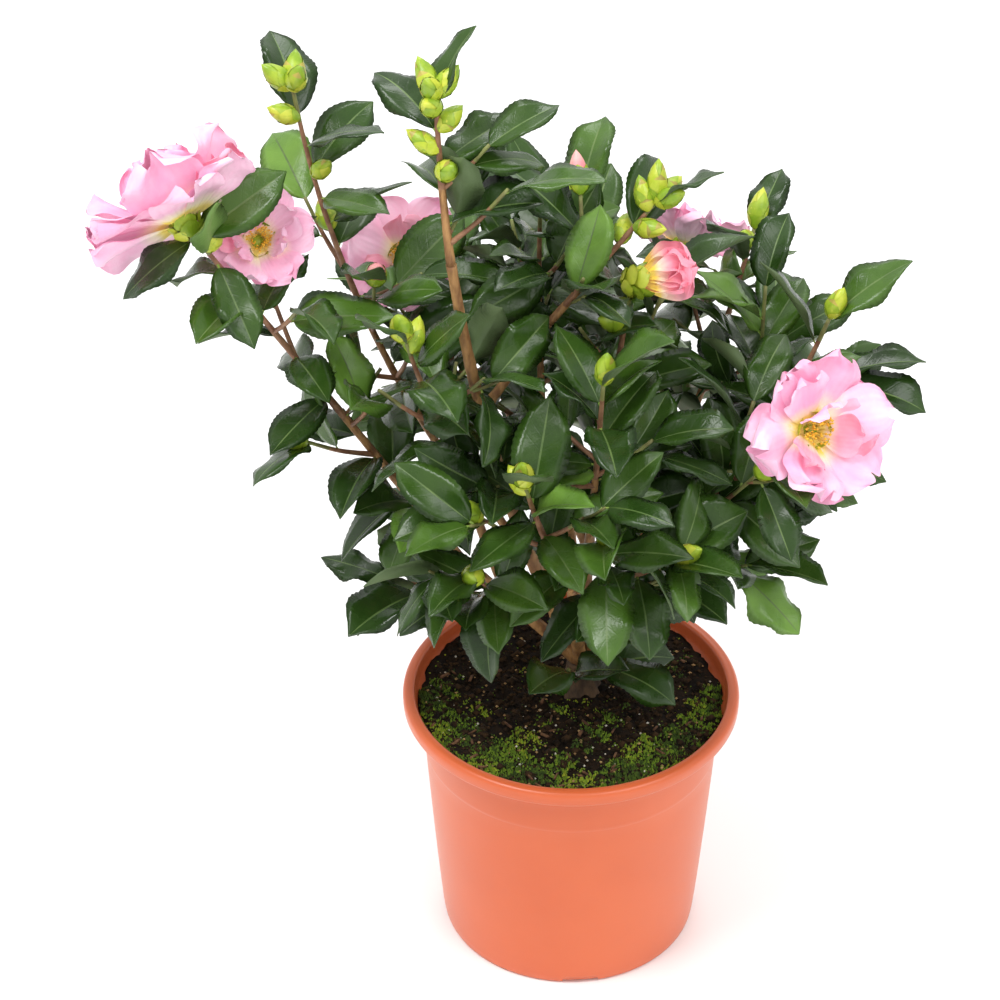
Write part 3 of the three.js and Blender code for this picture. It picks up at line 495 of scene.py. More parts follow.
def grow_leaf(axis, share, azimuth, traits):
    """One leaf at a share of an axis, at an azimuth."""
    here = direction_along(axis.path, share)
    out = outward(here, azimuth)
    spread = math.radians(traits["spread"])
    along = here * math.cos(spread) + out * math.sin(spread)
    along = unit(along - np.array([0, 0, traits["sag"]]))
    up = here * math.sin(spread) - out * math.cos(spread) + np.array([0, 0, SKYWARD])
    up = up + unit(np.array([out[0], out[1], 0.001])) * traits["facing"]
    up = unit(up - along * up.dot(along))
    roll = math.radians(traits["roll"])
    up = unit(up * math.cos(roll) + np.cross(along, up) * math.sin(roll))
    return make_leaf(point_along(axis.path, share), along, up, traits["length"], traits["droop"])


def nearest(points, others):
    """The least distance between two sets of points."""
    if len(points) == 0 or len(others) == 0:
        return math.inf
    return math.sqrt(((points[:, None, :] - others[None, :, :]) ** 2).sum(-1).min())


class Room:
    """Keeps count of the room that is taken, and says whether a leaf is clear
    of the pot, the soil, the limbs, other masses and other leaves."""

    def __init__(self, limbs):
        points, radii = [], []
        for limb in limbs.values():
            dense, shares = dense_points(limb.path)
            points.append(dense)
            radii.append(limb.root + (limb.tip - limb.root) * shares)
        self.limb_points = np.concatenate(points)
        self.limb_radii = np.concatenate(radii)
        self.twig_points = {}
        self.taken = []
        self.blooms = []

    def add_axis(self, axis, owner):
        self.twig_points.setdefault(owner, []).append(dense_points(axis.path)[0])

    def clear_of_wood(self, rooted, body, limb_gap, owner):
        offsets = body[:, None, :] - self.limb_points[None, :, :]
        if (np.linalg.norm(offsets, axis=2) < self.limb_radii + limb_gap).any():
            return False
        others = [p for name, paths in self.twig_points.items() if name != owner for p in paths]
        return nearest(rooted, np.concatenate(others)) >= CLEAR["twig"]

    def clear_path(self, seat, azimuth, lean, length, owner):
        for offset in TRIES:
            path = arc_path(seat, azimuth + offset, lean, length, SHOOT["bow"], SHOOT["steps"])
            rooted = dense_points(path)[0][ROOT_MARKS:]
            if self.clear_of_wood(rooted, rooted, CLEAR["twig"], owner):
                return path
        return None

    def add(self, rooted, body, owner):
        """body holds the points away from the root, rooted all of them."""
        self.taken.append((rooted, body, owner, rooted.mean(axis=0)))

    def clear_of_pot(self, points):
        radius = np.hypot(points[:, 0], points[:, 1])
        over_soil = (radius < POT["neck"] - CLEAR["pot"]) & (points[:, 2] > SOIL_TOP + CLEAR["soil"])
        return bool((over_soil | (points[:, 2] > POT_HEIGHT + CLEAR["pot"])).all())

    def hides_bloom(self, points):
        """Whether points lie in the open space in front of a bloom."""
        for bloom in self.blooms:
            offset = points - bloom.centre
            ahead = offset @ bloom.face
            aside = np.linalg.norm(offset - ahead[:, None] * bloom.face, axis=1)
            narrow = aside < bloom.radius + BLOOM_VIEW["widening"] * ahead
            if ((ahead > 0) & (ahead < BLOOM_VIEW["depth"]) & narrow).any():
                return True
        return False

    def is_clear(self, rooted, body, owner, ease):
        if not self.clear_of_pot(rooted) or not self.clear_of_wood(rooted, body, CLEAR["limb"], owner):
            return False
        centre = rooted.mean(axis=0)
        near = [t for t in self.taken if np.linalg.norm(t[3] - centre) <= CLEAR["far_apart"]]
        own = [t[1] for t in near if t[2] == owner and len(t[1])]
        others = [t[0] for t in near if t[2] != owner]
        if own and nearest(body, np.concatenate(own)) < CLEAR["own_mass"] * ease:
            return False
        return not others or nearest(rooted, np.concatenate(others)) >= CLEAR["other_mass"] * ease


def grow_masses(limbs, room):
    masses = []
    for index, row in enumerate(MASSES):
        stem = grow_stem(row, limbs)
        room.add_axis(stem, row[0])
        draw = seeded(SEED["mass"] + SEED["step"] * index)
        masses.append(Mass(row[0], draw, [stem], [], [], []))
    for row, mass in zip(MASSES, masses):
        mass.axes.extend(grow_shoots(row, mass.axes[0], mass.draw, room))
    for mass in masses:
        for axis in mass.axes:
            for bud in grow_buds(axis):
                marks = np.array([bud.base + bud.aim * d for d in BUD_MARKS])
                room.add(marks, marks[-1:], mass.name)
                mass.buds.append(bud)
            if axis.carries in BLOOMS:
                bloom = grow_bloom(axis, mass.draw)
                for petal in bloom.petals:
                    grid = petal.samples()
                    room.add(grid, grid[len(GRID_SIDES):], mass.name)
                mass.blooms.append(bloom)
                room.blooms.append(bloom)
    for mass in masses:
        for axis in mass.axes:
            grow_leaves(mass, axis, room)
    return masses


def leaf_traits(draw, k, size=1.0):
    """How one leaf differs from the next. k counts back from the twig's tip,
    where the first two leaves don't sag."""
    traits = {name: draw(*limits) for name, limits in LEAF_VARIES.items()}
    traits["length"] = LEAF["length"] * traits["length"] * size
    traits["spread"] = LEAF["spread"] * traits["spread"] * (TIP_SPREAD[k] if k < len(TIP_SPREAD) else 1)
    traits["sag"] = traits["sag"] if k > 1 else 0
    return traits


def grow_leaves(mass, axis, room):
    leafy = path_length(axis.path) * (1 - axis.bare)
    count = max(2, math.floor(leafy / LEAF["spacing"] + 0.5))
    for k in range(count):
        share = 1 - ((1 - axis.bare) * (k + FIRST_LEAF)) / count
        round_axis = ((GOLDEN_ANGLE * k + 180) % 360) - 180
        traits = leaf_traits(mass.draw, k)
        try_leaf(mass, axis, share, axis.turn + round_axis * axis.swing + traits["jitter"], traits, room)


def try_leaf(mass, axis, share, azimuth, traits, room, reach=None):
    """Adds a leaf where there is room for it, turned aside if need be. A leaf
    of the finer growth keeps inside the mass's reach and off the blooms."""
    for offset in TRIES:
        leaf = grow_leaf(axis, share, azimuth + offset, traits)
        grid = leaf.samples()
        if reach and (not ((grid > reach[0]) & (grid < reach[1])).all() or room.hides_bloom(grid)):
            continue
        body = grid[len(GRID_SIDES):]
        if room.is_clear(grid, body, mass.name, FINER["ease"] if reach else 1.0):
            room.add(grid, body, mass.name)
            mass.leaves.append((leaf, share))
            return


def grow_finer(mass, index, room):
    draw = seeded(SEED["finer"] + SEED["step"] * index)
    is_open = mass.name in OPEN_MASSES
    low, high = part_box(node_of(mass.name))
    reach = (np.array(low) / MM - FINER["past"], np.array(high) / MM + FINER["past"])
    for axis in list(mass.axes):
        length = path_length(axis.path)
        for k in range(round((FINER["open_share"] if is_open else 1) * length / FINER["twig_gap"])):
            share = axis.bare + (FINER["highest"] - axis.bare) * draw(0, 1)
            azimuth = axis.turn + GOLDEN_ANGLE * k + draw(*FINER["jitter"])
            lean = draw(*FINER["lean"])
            seat = point_along(axis.path, share)
            path = room.clear_path(seat, azimuth, lean, draw(*FINER["length"]), mass.name)
            if path is None:
                continue
            twig = Axis(path, FINER["root"], FINER["tip"], FINER["bare"], azimuth, 1, "leaf", 2)
            before = len(mass.leaves)
            for j, place in enumerate(FINER["leaves"]):
                traits = leaf_traits(draw, j, FINER["leaf_size"])
                around = azimuth + GOLDEN_ANGLE * j + traits["jitter"]
                try_leaf(mass, twig, place, around, traits, room, reach)
            if len(mass.leaves) > before:
                mass.axes.append(twig)
                room.add_axis(twig, mass.name)
        extra = 0 if is_open else round(length * (1 - axis.bare) / FINER["leaf_gap"])
        for k in range(extra):
            share = 1 - (1 - axis.bare) * (k + 1 - FIRST_LEAF) / extra
            traits = leaf_traits(draw, k + 1, draw(*FINER["extra_size"]))
            around = axis.turn + FINER["extra_turn"] + GOLDEN_ANGLE * k + traits["jitter"]
            try_leaf(mass, axis, share, around, traits, room, reach)


def node_of(name):
    return "leaves_at_foot" if name == "stem" else f"leaves_{name}"


def add_bloom_leaves(masses):
    for name, share, azimuth, lean, up_azimuth, up_lean, length, droop in BLOOM_LEAVES:
        mass = next(m for m in masses if m.name == name)
        along = heading(azimuth, lean)
        up = heading(up_azimuth, up_lean)
        up = unit(up - along * up.dot(along))
        leaf = make_leaf(point_along(mass.axes[0].path, share), along, up, length, droop)
        mass.leaves.append((leaf, share))


# ---- materials

# The dark and light tone of each leaf skin, and its roughness.
LEAF_FINISHES = {
    "leaf_deep": ((0.014, 0.038, 0.005), (0.026, 0.064, 0.009), 0.25),
    "leaf_green": ((0.023, 0.06, 0.007), (0.039, 0.088, 0.011), 0.24),
    "leaf_mid": ((0.039, 0.092, 0.01), (0.064, 0.138, 0.016), 0.25),
    "leaf_young": ((0.095, 0.2, 0.026), (0.15, 0.29, 0.04), 0.30),
    "leaf_under": ((0.085, 0.13, 0.05), (0.11, 0.165, 0.065), 0.52),
    "leaf_under_young": ((0.15, 0.27, 0.06), (0.19, 0.33, 0.08), 0.5),
}
# The pale and deep tone of each petal, and the share of it that is yellow.
PETAL_FINISHES = {
    "petal_pale": ((0.93, 0.6, 0.75), (0.91, 0.47, 0.66), 0.16),
    "petal_pink": ((0.93, 0.52, 0.69), (0.9, 0.38, 0.57), 0.16),
    "petal_deep": ((0.95, 0.46, 0.58), (0.9, 0.3, 0.43), 0.16),
    "petal_coral": ((0.95, 0.46, 0.56), (0.9, 0.3, 0.4), 0.3),
}
CLAW_YELLOW = (0.95, 0.76, 0.08)
THROAT_CREAM = (0.98, 0.84, 0.62)
PETAL_PAINTED_GLOW = 0.08  # painted glow: the petal gives off a little light of its own, standing in for the light that comes through a petal
# The two tones of each other finish, its roughness, how fine its clouds are,
# the height of its relief in millimetres, then the scale of both along Z,
# which draws them out where it is below 1, and the specular level.
PLAIN_FINISHES = {
    "midrib": ((0.08, 0.14, 0.035), (0.12, 0.19, 0.05), 0.4, 90, 0.3),
    "stalk": ((0.2, 0.34, 0.05), (0.3, 0.42, 0.08), 0.42, 120, 0.3),
    "bark": ((0.2, 0.09, 0.03), (0.44, 0.235, 0.085), 0.58, 210, 1.0, 0.3),
    "bark_old": ((0.05, 0.028, 0.014), (0.14, 0.082, 0.04), 0.75, 190, 1.2, 0.4),
    "bark_young": ((0.2, 0.085, 0.045), (0.33, 0.17, 0.09), 0.55, 150, 0.5),
    "twig_green": ((0.16, 0.15, 0.05), (0.22, 0.24, 0.07), 0.5, 140, 0.4),
    "bud_lime": ((0.22, 0.36, 0.02), (0.38, 0.51, 0.035), 0.34, 110, 0.3),
    "bud_yellow": ((0.42, 0.52, 0.03), (0.58, 0.62, 0.065), 0.34, 110, 0.3),
    "bud_edge": ((0.36, 0.3, 0.06), (0.5, 0.42, 0.08), 0.42, 160, 0.3),
    "bud_pink": ((0.82, 0.24, 0.28), (0.92, 0.45, 0.42), 0.4, 120, 0.3),
    "stamen": ((0.9, 0.66, 0.12), (0.95, 0.78, 0.25), 0.5, 200, 0.2),
    "anther": ((0.9, 0.48, 0.02), (0.95, 0.62, 0.05), 0.6, 300, 0.3),
    "soil": ((0.007, 0.004, 0.0025), (0.022, 0.012, 0.006), 0.9, 160, 1.2, 1, 0.2),
    "crumb": ((0.008, 0.005, 0.0025), (0.06, 0.032, 0.014), 0.9, 200, 1.0, 1, 0.2),
    "chip": ((0.085, 0.034, 0.014), (0.2, 0.095, 0.04), 0.8, 220, 0.8, 3),
    "grit_pale": ((0.62, 0.56, 0.44), (0.8, 0.76, 0.66), 0.8, 400, 0.5),
    "grit_tan": ((0.36, 0.2, 0.075), (0.52, 0.33, 0.14), 0.8, 400, 0.5),
    "moss_deep": ((0.03, 0.06, 0.005), (0.08, 0.135, 0.01), 0.85, 300, 0.6),
    "moss_bright": ((0.11, 0.2, 0.01), (0.22, 0.34, 0.022), 0.85, 300, 0.6),
    "moss_yellow": ((0.23, 0.29, 0.012), (0.38, 0.44, 0.03), 0.85, 300, 0.6),
}
POT_BASE = (0.63, 0.122, 0.038)
POT_PALE = (0.69, 0.145, 0.048)


class Finish:
    """A node material built up step by step round one shader."""

    def __init__(self, name, colour, roughness, specular=0.5):
        self.material = bpy.data.materials.new(name)
        self.material.use_nodes = True
        self.nodes = self.material.node_tree.nodes
        self.shader = self.nodes["Principled BSDF"]
        self.shade({"Base Color": colour, "Roughness": roughness, "Specular IOR Level": specular})
        self.coords = self.nodes.new("ShaderNodeTexCoord")

    def feed(self, node, values):
        """Sets each of a node's inputs, or links it where the value is a socket."""
        for key, value in values.items():
            socket = node.inputs[key]
            if isinstance(value, bpy.types.NodeSocket):
                self.material.node_tree.links.new(value, socket)
            elif socket.type == "RGBA":
                socket.default_value = (*value, 1)
            else:
                socket.default_value = value

    def shade(self, values):
        self.feed(self.shader, values)

    def node(self, kind, values, **settings):
        node = self.nodes.new(f"ShaderNode{kind}")
        for key, value in settings.items():
            setattr(node, key, value)
        self.feed(node, values)
        return node

    def noise(self, scale, detail=3, stretch=(1, 1, 1)):
        mapping = self.node("Mapping", {"Vector": self.coords.outputs["Object"], "Scale": stretch})
        place = mapping.outputs["Vector"]
        return self.node("TexNoise", {"Vector": place, "Scale": scale, "Detail": detail}).outputs["Fac"]

    def uv(self):
        """How far across and how far along a blade a point is."""
        axes = self.node("SeparateXYZ", {0: self.coords.outputs["UV"]})
        return axes.outputs["X"], axes.outputs["Y"]

    def math(self, operation, a, b=0.0):
        return self.node("Math", {0: a, 1: b}, operation=operation).outputs[0]

    def scaled(self, value, factor):
        return self.math("MULTIPLY", value, factor)

    def remap(self, value, low, high, to_low=0.0, to_high=1.0):
        values = {"Value": value, "From Min": low, "From Max": high, "To Min": to_low, "To Max": to_high}
        return self.node("MapRange", values, interpolation_type="SMOOTHSTEP").outputs["Result"]

    def mix(self, factor, a, b):
        return self.node("Mix", {"Factor": factor, "A": a, "B": b}, data_type="RGBA").outputs["Result"]

    def bump(self, height, distance, strength):
        values = {"Strength": strength, "Distance": distance, "Height": height}
        self.shade({"Normal": self.node("Bump", values).outputs["Normal"]})

    def gloss(self, value, low, high):
        """Roughness that wanders between two values."""
        self.shade({"Roughness": self.remap(value, 0.3, 0.7, low, high)})


def leaf_finish(name, dark, light, roughness):
    """Waxy leaf skin with side veins that run out and forward from the midrib."""
    finish = Finish(name, dark, roughness, 0.42)
    across, along = finish.uv()
    side = finish.math("ABSOLUTE", finish.math("SUBTRACT", across, 0.5))
    phase = finish.math("SUBTRACT", finish.scaled(along, 8.0), finish.scaled(side, 3.6))
    vein = finish.remap(finish.math("PINGPONG", phase, 0.5), 0.0, 0.1, 0.1, 0.0)
    cloud = finish.noise(45, 4)
    tint = finish.mix(finish.remap(cloud, 0.3, 0.7), dark, light)
    finish.shade({"Base Color": finish.mix(vein, tint, light)})
    grain, pucker = finish.scaled(finish.noise(900, 2), 0.25), finish.scaled(finish.noise(160, 2), 0.8)
    finish.bump(finish.math("SUBTRACT", finish.math("ADD", grain, pucker), vein), 0.6 * MM, 0.6)
    finish.gloss(cloud, roughness - 0.06, roughness + 0.08)
    return finish.material


def petal_finish(name, pale, deep, claw):
    """Thin soft petal with faint lengthwise streaks, yellow up to the share claw, and a faint painted glow in
    its pale tone.
    """
    finish = Finish(name, pale, 0.55, 0.3)
    across, along = finish.uv()
    streak = finish.math("SINE", finish.scaled(across, 60.0))
    cloud = finish.noise(70, 4)
    amount = finish.math("ADD", finish.remap(cloud, 0.3, 0.75), finish.scaled(streak, 0.06))
    share = finish.math("ADD", along, finish.remap(cloud, 0.2, 0.8, -0.05, 0.05))
    throat = finish.mix(finish.remap(share, claw, claw + 0.12), CLAW_YELLOW, THROAT_CREAM)
    blade = finish.mix(amount, pale, deep)
    finish.shade({"Base Color": finish.mix(finish.remap(share, claw + 0.06, claw + 0.34), throat, blade)})
    finish.bump(finish.math("ADD", finish.noise(220, 3), finish.scaled(streak, 0.12)), 0.8 * MM, 0.5)
    # Painted glow: an emission in the petal's pale tone, standing in for light that shines through it.
    finish.shade({"Emission Color": pale, "Emission Strength": PETAL_PAINTED_GLOW})
    return finish.material


def plain_finish(name, dark, light, roughness, fineness, height, stretch=1, specular=0.5):
    """Two tones in soft clouds over a fine relief."""
    finish = Finish(name, dark, roughness, specular)
    cloud = finish.noise(fineness, 4, (1, 1, stretch))
    finish.shade({"Base Color": finish.mix(finish.remap(cloud, 0.35, 0.65), dark, light)})
    finish.bump(finish.noise(fineness * 4, 3, (1, 1, stretch)), height * MM, 0.7)
    finish.gloss(cloud, roughness - 0.05, roughness + 0.07)
    return finish.material


def pot_finish():
    """Moulded plastic: even colour, faint clouds and a fine grain."""
    finish = Finish("pot_plastic", POT_BASE, 0.30)
    cloud = finish.noise(9, 4)
    finish.shade({"Base Color": finish.mix(finish.remap(cloud, 0.3, 0.7), POT_BASE, POT_PALE)})
    waves = finish.scaled(finish.noise(60, 2), 0.25)
    finish.bump(finish.math("ADD", finish.noise(1400, 2), waves), 0.12 * MM, 0.35)
    finish.gloss(cloud, 0.29, 0.35)
    finish.shade({"Subsurface Weight": 0.05, "Subsurface Radius": (0.006, 0.002, 0.001)})
    return finish.material


def make_finishes():
    finishes = {"pot": pot_finish()}
    kinds = ((leaf_finish, LEAF_FINISHES), (petal_finish, PETAL_FINISHES), (plain_finish, PLAIN_FINISHES))
    for make, table in kinds:
        for name, values in table.items():
            finishes[name] = make(name, *values)
    return finishes


FINISHES = make_finishes()

# ---- meshes


class Shape:
    """Collects faces, in millimetres, and makes one object of them. kinds
    names the finishes that its faces may have."""

    def __init__(self, name, slot, kinds):
        self.name = name
        self.slot = slot
        self.kinds = kinds
        self.points = []
        self.uvs = []
        self.faces = []
        self.slots = []
        self.count = 0

    def add(self, points, faces, kinds, uv=None):
        """kinds is one kind for all the faces, or one for each face."""
        points = np.asarray(points, float).reshape(-1, 3)
        self.points.append(points)
        self.uvs.append(np.zeros((len(points), 2)) if uv is None else np.asarray(uv).reshape(-1, 2))
        self.faces += [tuple(self.count + i for i in face) for face in faces]
        kinds = [kinds] * len(faces) if isinstance(kinds, str) else kinds
        self.slots += [self.kinds.index(kind) for kind in kinds]
        self.count += len(points)

    def add_rings(self, rings, kinds, uv=None):
        """A closed body round rings of points. kinds is one kind, or for each
        band of faces a row with one kind or with a kind for each face."""
        bands, sides = len(rings) - 1, len(rings[0])
        kinds = np.broadcast_to(kinds, (bands, sides))
        last = bands * sides
        caps = [tuple(reversed(range(sides))), tuple(range(last, last + sides))]
        faces = grid_faces(bands + 1, sides, wrap=True) + caps
        self.add(np.concatenate(rings), faces, [*kinds.ravel(), kinds[0, 0], kinds[-1, 0]], uv)

    def mesh(self, smooth=True):
        mesh = bpy.data.meshes.new(self.name)
        mesh.from_pydata(np.concatenate(self.points) * MM, [], self.faces)
        for kind in self.kinds:
            mesh.materials.append(FINISHES[kind])
        mesh.polygons.foreach_set("material_index", np.array(self.slots, np.int32))
        mesh.polygons.foreach_set("use_smooth", np.full(len(self.faces), smooth))
        loops = np.zeros(len(mesh.loops), np.int32)
        mesh.loops.foreach_get("vertex_index", loops)
        mesh.uv_layers.new(name="UVMap").data.foreach_set("uv", np.concatenate(self.uvs)[loops].ravel())
        mesh.update()
        return mesh

    def build(self, replaces=(), smooth=True):
        piece = add_object(self.name, self.mesh(smooth))
        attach(piece, "root")
        if replaces:
            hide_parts(*replaces)
        return piece


def add_object(name, data):
    made = bpy.data.objects.new(name, data)
    bpy.context.scene.collection.objects.link(made)
    return made


def grid_faces(rows, columns, wrap=False):
    """Quads of a grid of points, row by row, closed round if it wraps."""
    faces = []
    for r in range(rows - 1):
        for c in range(columns if wrap else columns - 1):
            d = (c + 1) % columns
            faces.append((r * columns + c, r * columns + d, (r + 1) * columns + d, (r + 1) * columns + c))
    return faces


SQUARE = ((-1, -1), (1, -1), (1, 1), (-1, 1))


def round_angles(sides):
    return np.linspace(0, 2 * np.pi, sides, endpoint=False)


def smooth_path(path, gap):
    """Resamples a path evenly on a smooth curve through its points."""
    count = max(2, math.ceil(path_length(path) / gap))
    ends = np.concatenate([[2 * path[0] - path[1]], path, [2 * path[-1] - path[-2]]])
    points = []
    for place in np.linspace(0, len(path) - 1, count + 1):
        i = min(int(place), len(path) - 2)
        t = place - i
        a, b, c, d = ends[i : i + 4]
        cubic = (3 * b - a - 3 * c + d) * t**3
        points.append(0.5 * (2 * b + (c - a) * t + (2 * a - 5 * b + 4 * c - d) * t**2 + cubic))
    return np.array(points)


def add_tube(shape, path, radii, sides, kinds):
    """A closed round tube. radii has one row of radii for each point."""
    tangents = np.gradient(path, axis=0)
    across = unit(np.cross(tangents[0], (0.31, 0.95, 0.07)))
    rings = []
    for point, tangent, radius in zip(path, tangents, radii):
        tangent = unit(tangent)
        across = unit(across - tangent * across.dot(tangent))
        around = turned((across, np.cross(tangent, across)), round_angles(sides))
        rings.append(point + around * np.broadcast_to(radius, sides)[:, None])
    shape.add_rings(rings, kinds)


# ---- wood


def bark_radii(count, sides, limb, draw, knot_gap=11.0, spacing=2.0):
    """Tapering radii with low ridges round and swollen knots along the limb."""
    along = np.linspace(0, 1, count)[:, None]
    around = round_angles(sides)[None, :]
    phase = [draw(0, 6.3) for _ in range(4)]
    ridge = 0.05 * np.sin(3 * around + phase[0] + along * 5)
    groove = 0.03 * np.sin(5 * around + phase[1] - along * 9)
    distance = along * count * spacing
    knot = 0.08 * np.maximum(0, np.sin(distance / knot_gap + phase[2])) ** 6
    wrinkle = 0.02 * np.sin(distance * 2.1 + phase[3] + around)
    return (limb.root + (limb.tip - limb.root) * along) * (1 + (ridge + groove) + knot + wrinkle)


def make_bark(limbs):
    """The stem's flared foot and every bough, with the bark's relief."""
    bark = Shape("bark", "bark", ["bark", "bark_old"])
    draw = seeded(SEED["bark"])
    path = smooth_path(limbs["stem"].path, 1.5)
    angles = round_angles(FOOT["sides"])
    share = np.linspace(0, 1, len(path))[:, None]
    flare = (FOOT["soil_radius"] - FOOT["top_radius"]) * (1 - share) ** FOOT["flare"]
    roots = 1 + 0.12 * (1 - share) * np.sin(5 * angles + 0.8) + 0.04 * np.sin(11 * angles + share * 3)
    add_tube(bark, path, (FOOT["top_radius"] + flare) * roots, FOOT["sides"], "bark_old")
    for name, *_ in BOUGHS:
        path = smooth_path(limbs[name].path, 2.0)
        radii = bark_radii(len(path), 12, limbs[name], draw)
        swell = np.maximum(0, 1 - np.arange(len(path)) / 6)[:, None]
        add_tube(bark, path, radii * (1 + 0.25 * swell), 12, "bark")
    bark.build(["stem"] + [f"bough_{row[0]}" for row in BOUGHS])


# Where a stem, a shoot and a fine twig turn from bark to young bark to green,
# how many sides each has, and how far apart its rings are.
TWIG_STAGES = [(0.45, 0.93, 8, 4.0), (0.0, 0.7, 6, 4.0), (-1, 0.25, 6, 5.0)]


def make_twigs(masses):
    """The stems and twigs inside the masses, browner and greener to the tips."""
    twigs = Shape("twigs", "bark", ["bark", "bark_young", "twig_green"])
    draw = seeded(SEED["twigs"])
    for mass in masses:
        for axis in mass.axes:
            old, young, sides, spacing = TWIG_STAGES[axis.rank]
            path = smooth_path(axis.path, spacing)
            radii = bark_radii(len(path), sides, axis, draw, 9.0, 4.0)
            shares = np.linspace(0, 1, len(path) - 1)
            kinds = [["bark" if s < old else "bark_young" if s < young else "twig_green"] for s in shares]
            add_tube(twigs, path, radii, sides, kinds)
    twigs.build()


# ---- leaves

LEAF_ROWS = 31
LEAF_SIDES = np.array([-1, -0.55, -0.035, 0.035, 0.55, 1])
LEAF_FULLNESS = (0.98, 1.16)
LEAF_SKIN = {"above": 0.28, "edge": 0.02, "below": 0.42}  # off its middle layer
TOOTH = 0.962  # the reach of the gaps between teeth
# A leaf's luck, from 0 to 1, says whether it is young, mid, green or deep.
# Leaves by a tip have less of it.
YOUNG_SHARE, MID_SHARE, GREEN_SHARE = 0.03, 0.25, 0.65
BY_TIP = {"from": 0.9, "less": 0.06}


def leaf_outline(share):
    """Half-widths of a camellia leaf: short stalk, oval blade, drawn-out tip."""
    t = np.clip((share - 0.07) / 0.93, 0, 1)
    blade = np.maximum(np.sin(np.pi * t**0.93), 0) ** 0.66
    return np.maximum(0.055 - 0.03 * t, blade * (1 - 0.42 * smooth_step(0.80, 0.98, t)))


def leaf_lift(share, side, reach, outline, draw):
    """How far a leaf's skin lies off its plane: twisted, waved, bulged and rolled."""
    wave = draw(0.6, 3.2)
    phase = draw(0, 6.3)
    twist = math.radians(draw(-36, 36))
    rolled = draw(-0.05, 0.09)
    ripple = wave * np.sin(share * draw(8, 15) + phase + np.sign(side) * 1.3) * np.abs(side) ** 2 * outline
    bulge = draw(0.6, 1.3) * np.sin(np.pi * np.abs(side) ** 0.8) * outline
    opened = draw(-0.3, 0.16) * np.abs(reach)
    return reach * np.tan(twist * share) + ripple + bulge - opened - rolled * np.abs(reach) ** 1.4


def add_leaf(shape, leaf, draw, kind):
    """A closed thin leaf with a toothed edge, a midrib and a paler underside."""
    shares = np.concatenate([[0, 0.035], np.linspace(0.07, 1, LEAF_ROWS)])
    teeth = np.where(np.arange(len(shares)) % 2 == 0, 1.0, TOOTH)
    share, side = np.meshgrid(shares, LEAF_SIDES, indexing="ij")
    outline = leaf_outline(share) * draw(*LEAF_FULLNESS)
    toothed = np.where((np.abs(side) == 1) & (share > 0.2), teeth[:, None], 1.0)
    reach = side * outline * leaf.width / 2 * toothed
    lift = leaf_lift(share, side, reach, outline, draw)
    top = leaf.place(share, reach, lift + (LEAF_SKIN["above"] * (1 - side**2) + LEAF_SKIN["edge"]))
    inner = slice(3, 1, -1)  # the two lines beside the midrib, from right to left
    under = leaf.place(share[:, inner], reach[:, inner], lift[:, inner] - LEAF_SKIN["below"])
    rings = np.concatenate([top, under], axis=1)
    under_kind = "leaf_under_young" if kind == "leaf_young" else "leaf_under"
    blade = [kind, kind, "midrib", kind, kind] + [under_kind] * 3
    kinds = [["stalk"] * len(blade)] * 2 + [blade] * (len(shares) - 3)
    uv = np.stack([side / 2 + 0.5, share], axis=-1)
    shape.add_rings(rings, kinds, np.concatenate([uv, uv[:, inner]], axis=1))


def make_leaves(masses):
    kinds = [*LEAF_FINISHES, "midrib", "stalk"]
    draw = seeded(SEED["leaves"])
    half = len(masses) // 2
    for name, group in (("foliage_left", masses[:half]), ("foliage_right", masses[half:])):
        foliage = Shape(name, "foliage", kinds)
        for mass in group:
            for leaf, share in mass.leaves:
                luck = draw(0, 1) - (BY_TIP["less"] if share > BY_TIP["from"] else 0)
                kind = "leaf_mid" if luck < MID_SHARE else "leaf_green" if luck < GREEN_SHARE else "leaf_deep"
                add_leaf(foliage, leaf, draw, "leaf_young" if luck < YOUNG_SHARE else kind)
        foliage.build([node_of(mass.name) for mass in group])


# ---- buds


def bud_radius(share, radius):
    return radius * np.maximum(np.sin(np.pi * np.clip(share * 0.97 + 0.03, 0, 1) ** 0.82), 0.0) ** 0.72


def add_scale(shape, base, aim, radius, length, middle, width, start, end, lift, kinds):
    """A pointed scale that hugs a bud or bloom and lifts at its edge."""
    rows, columns = 6, 5
    t, side = np.meshgrid(np.linspace(0, 1, rows), np.linspace(-1, 1, columns), indexing="ij")
    angle = middle + side * (width * np.maximum(0.02, np.sin(np.pi * (0.12 + 0.88 * t) ** 1.1)) ** 0.7)
    share = start + (end - start) * t
    out = bud_radius(share, radius) + lift * (0.4 + 0.6 * np.abs(side)) * (0.5 + t)
    points = base + aim * (share * length)[..., None] + turned(axes_round(aim), angle) * out[..., None]
    kinds = [kinds[r >= rows - 2] for r in range(rows - 1) for _ in range(columns - 1)]
    shape.add(points, grid_faces(rows, columns), kinds)


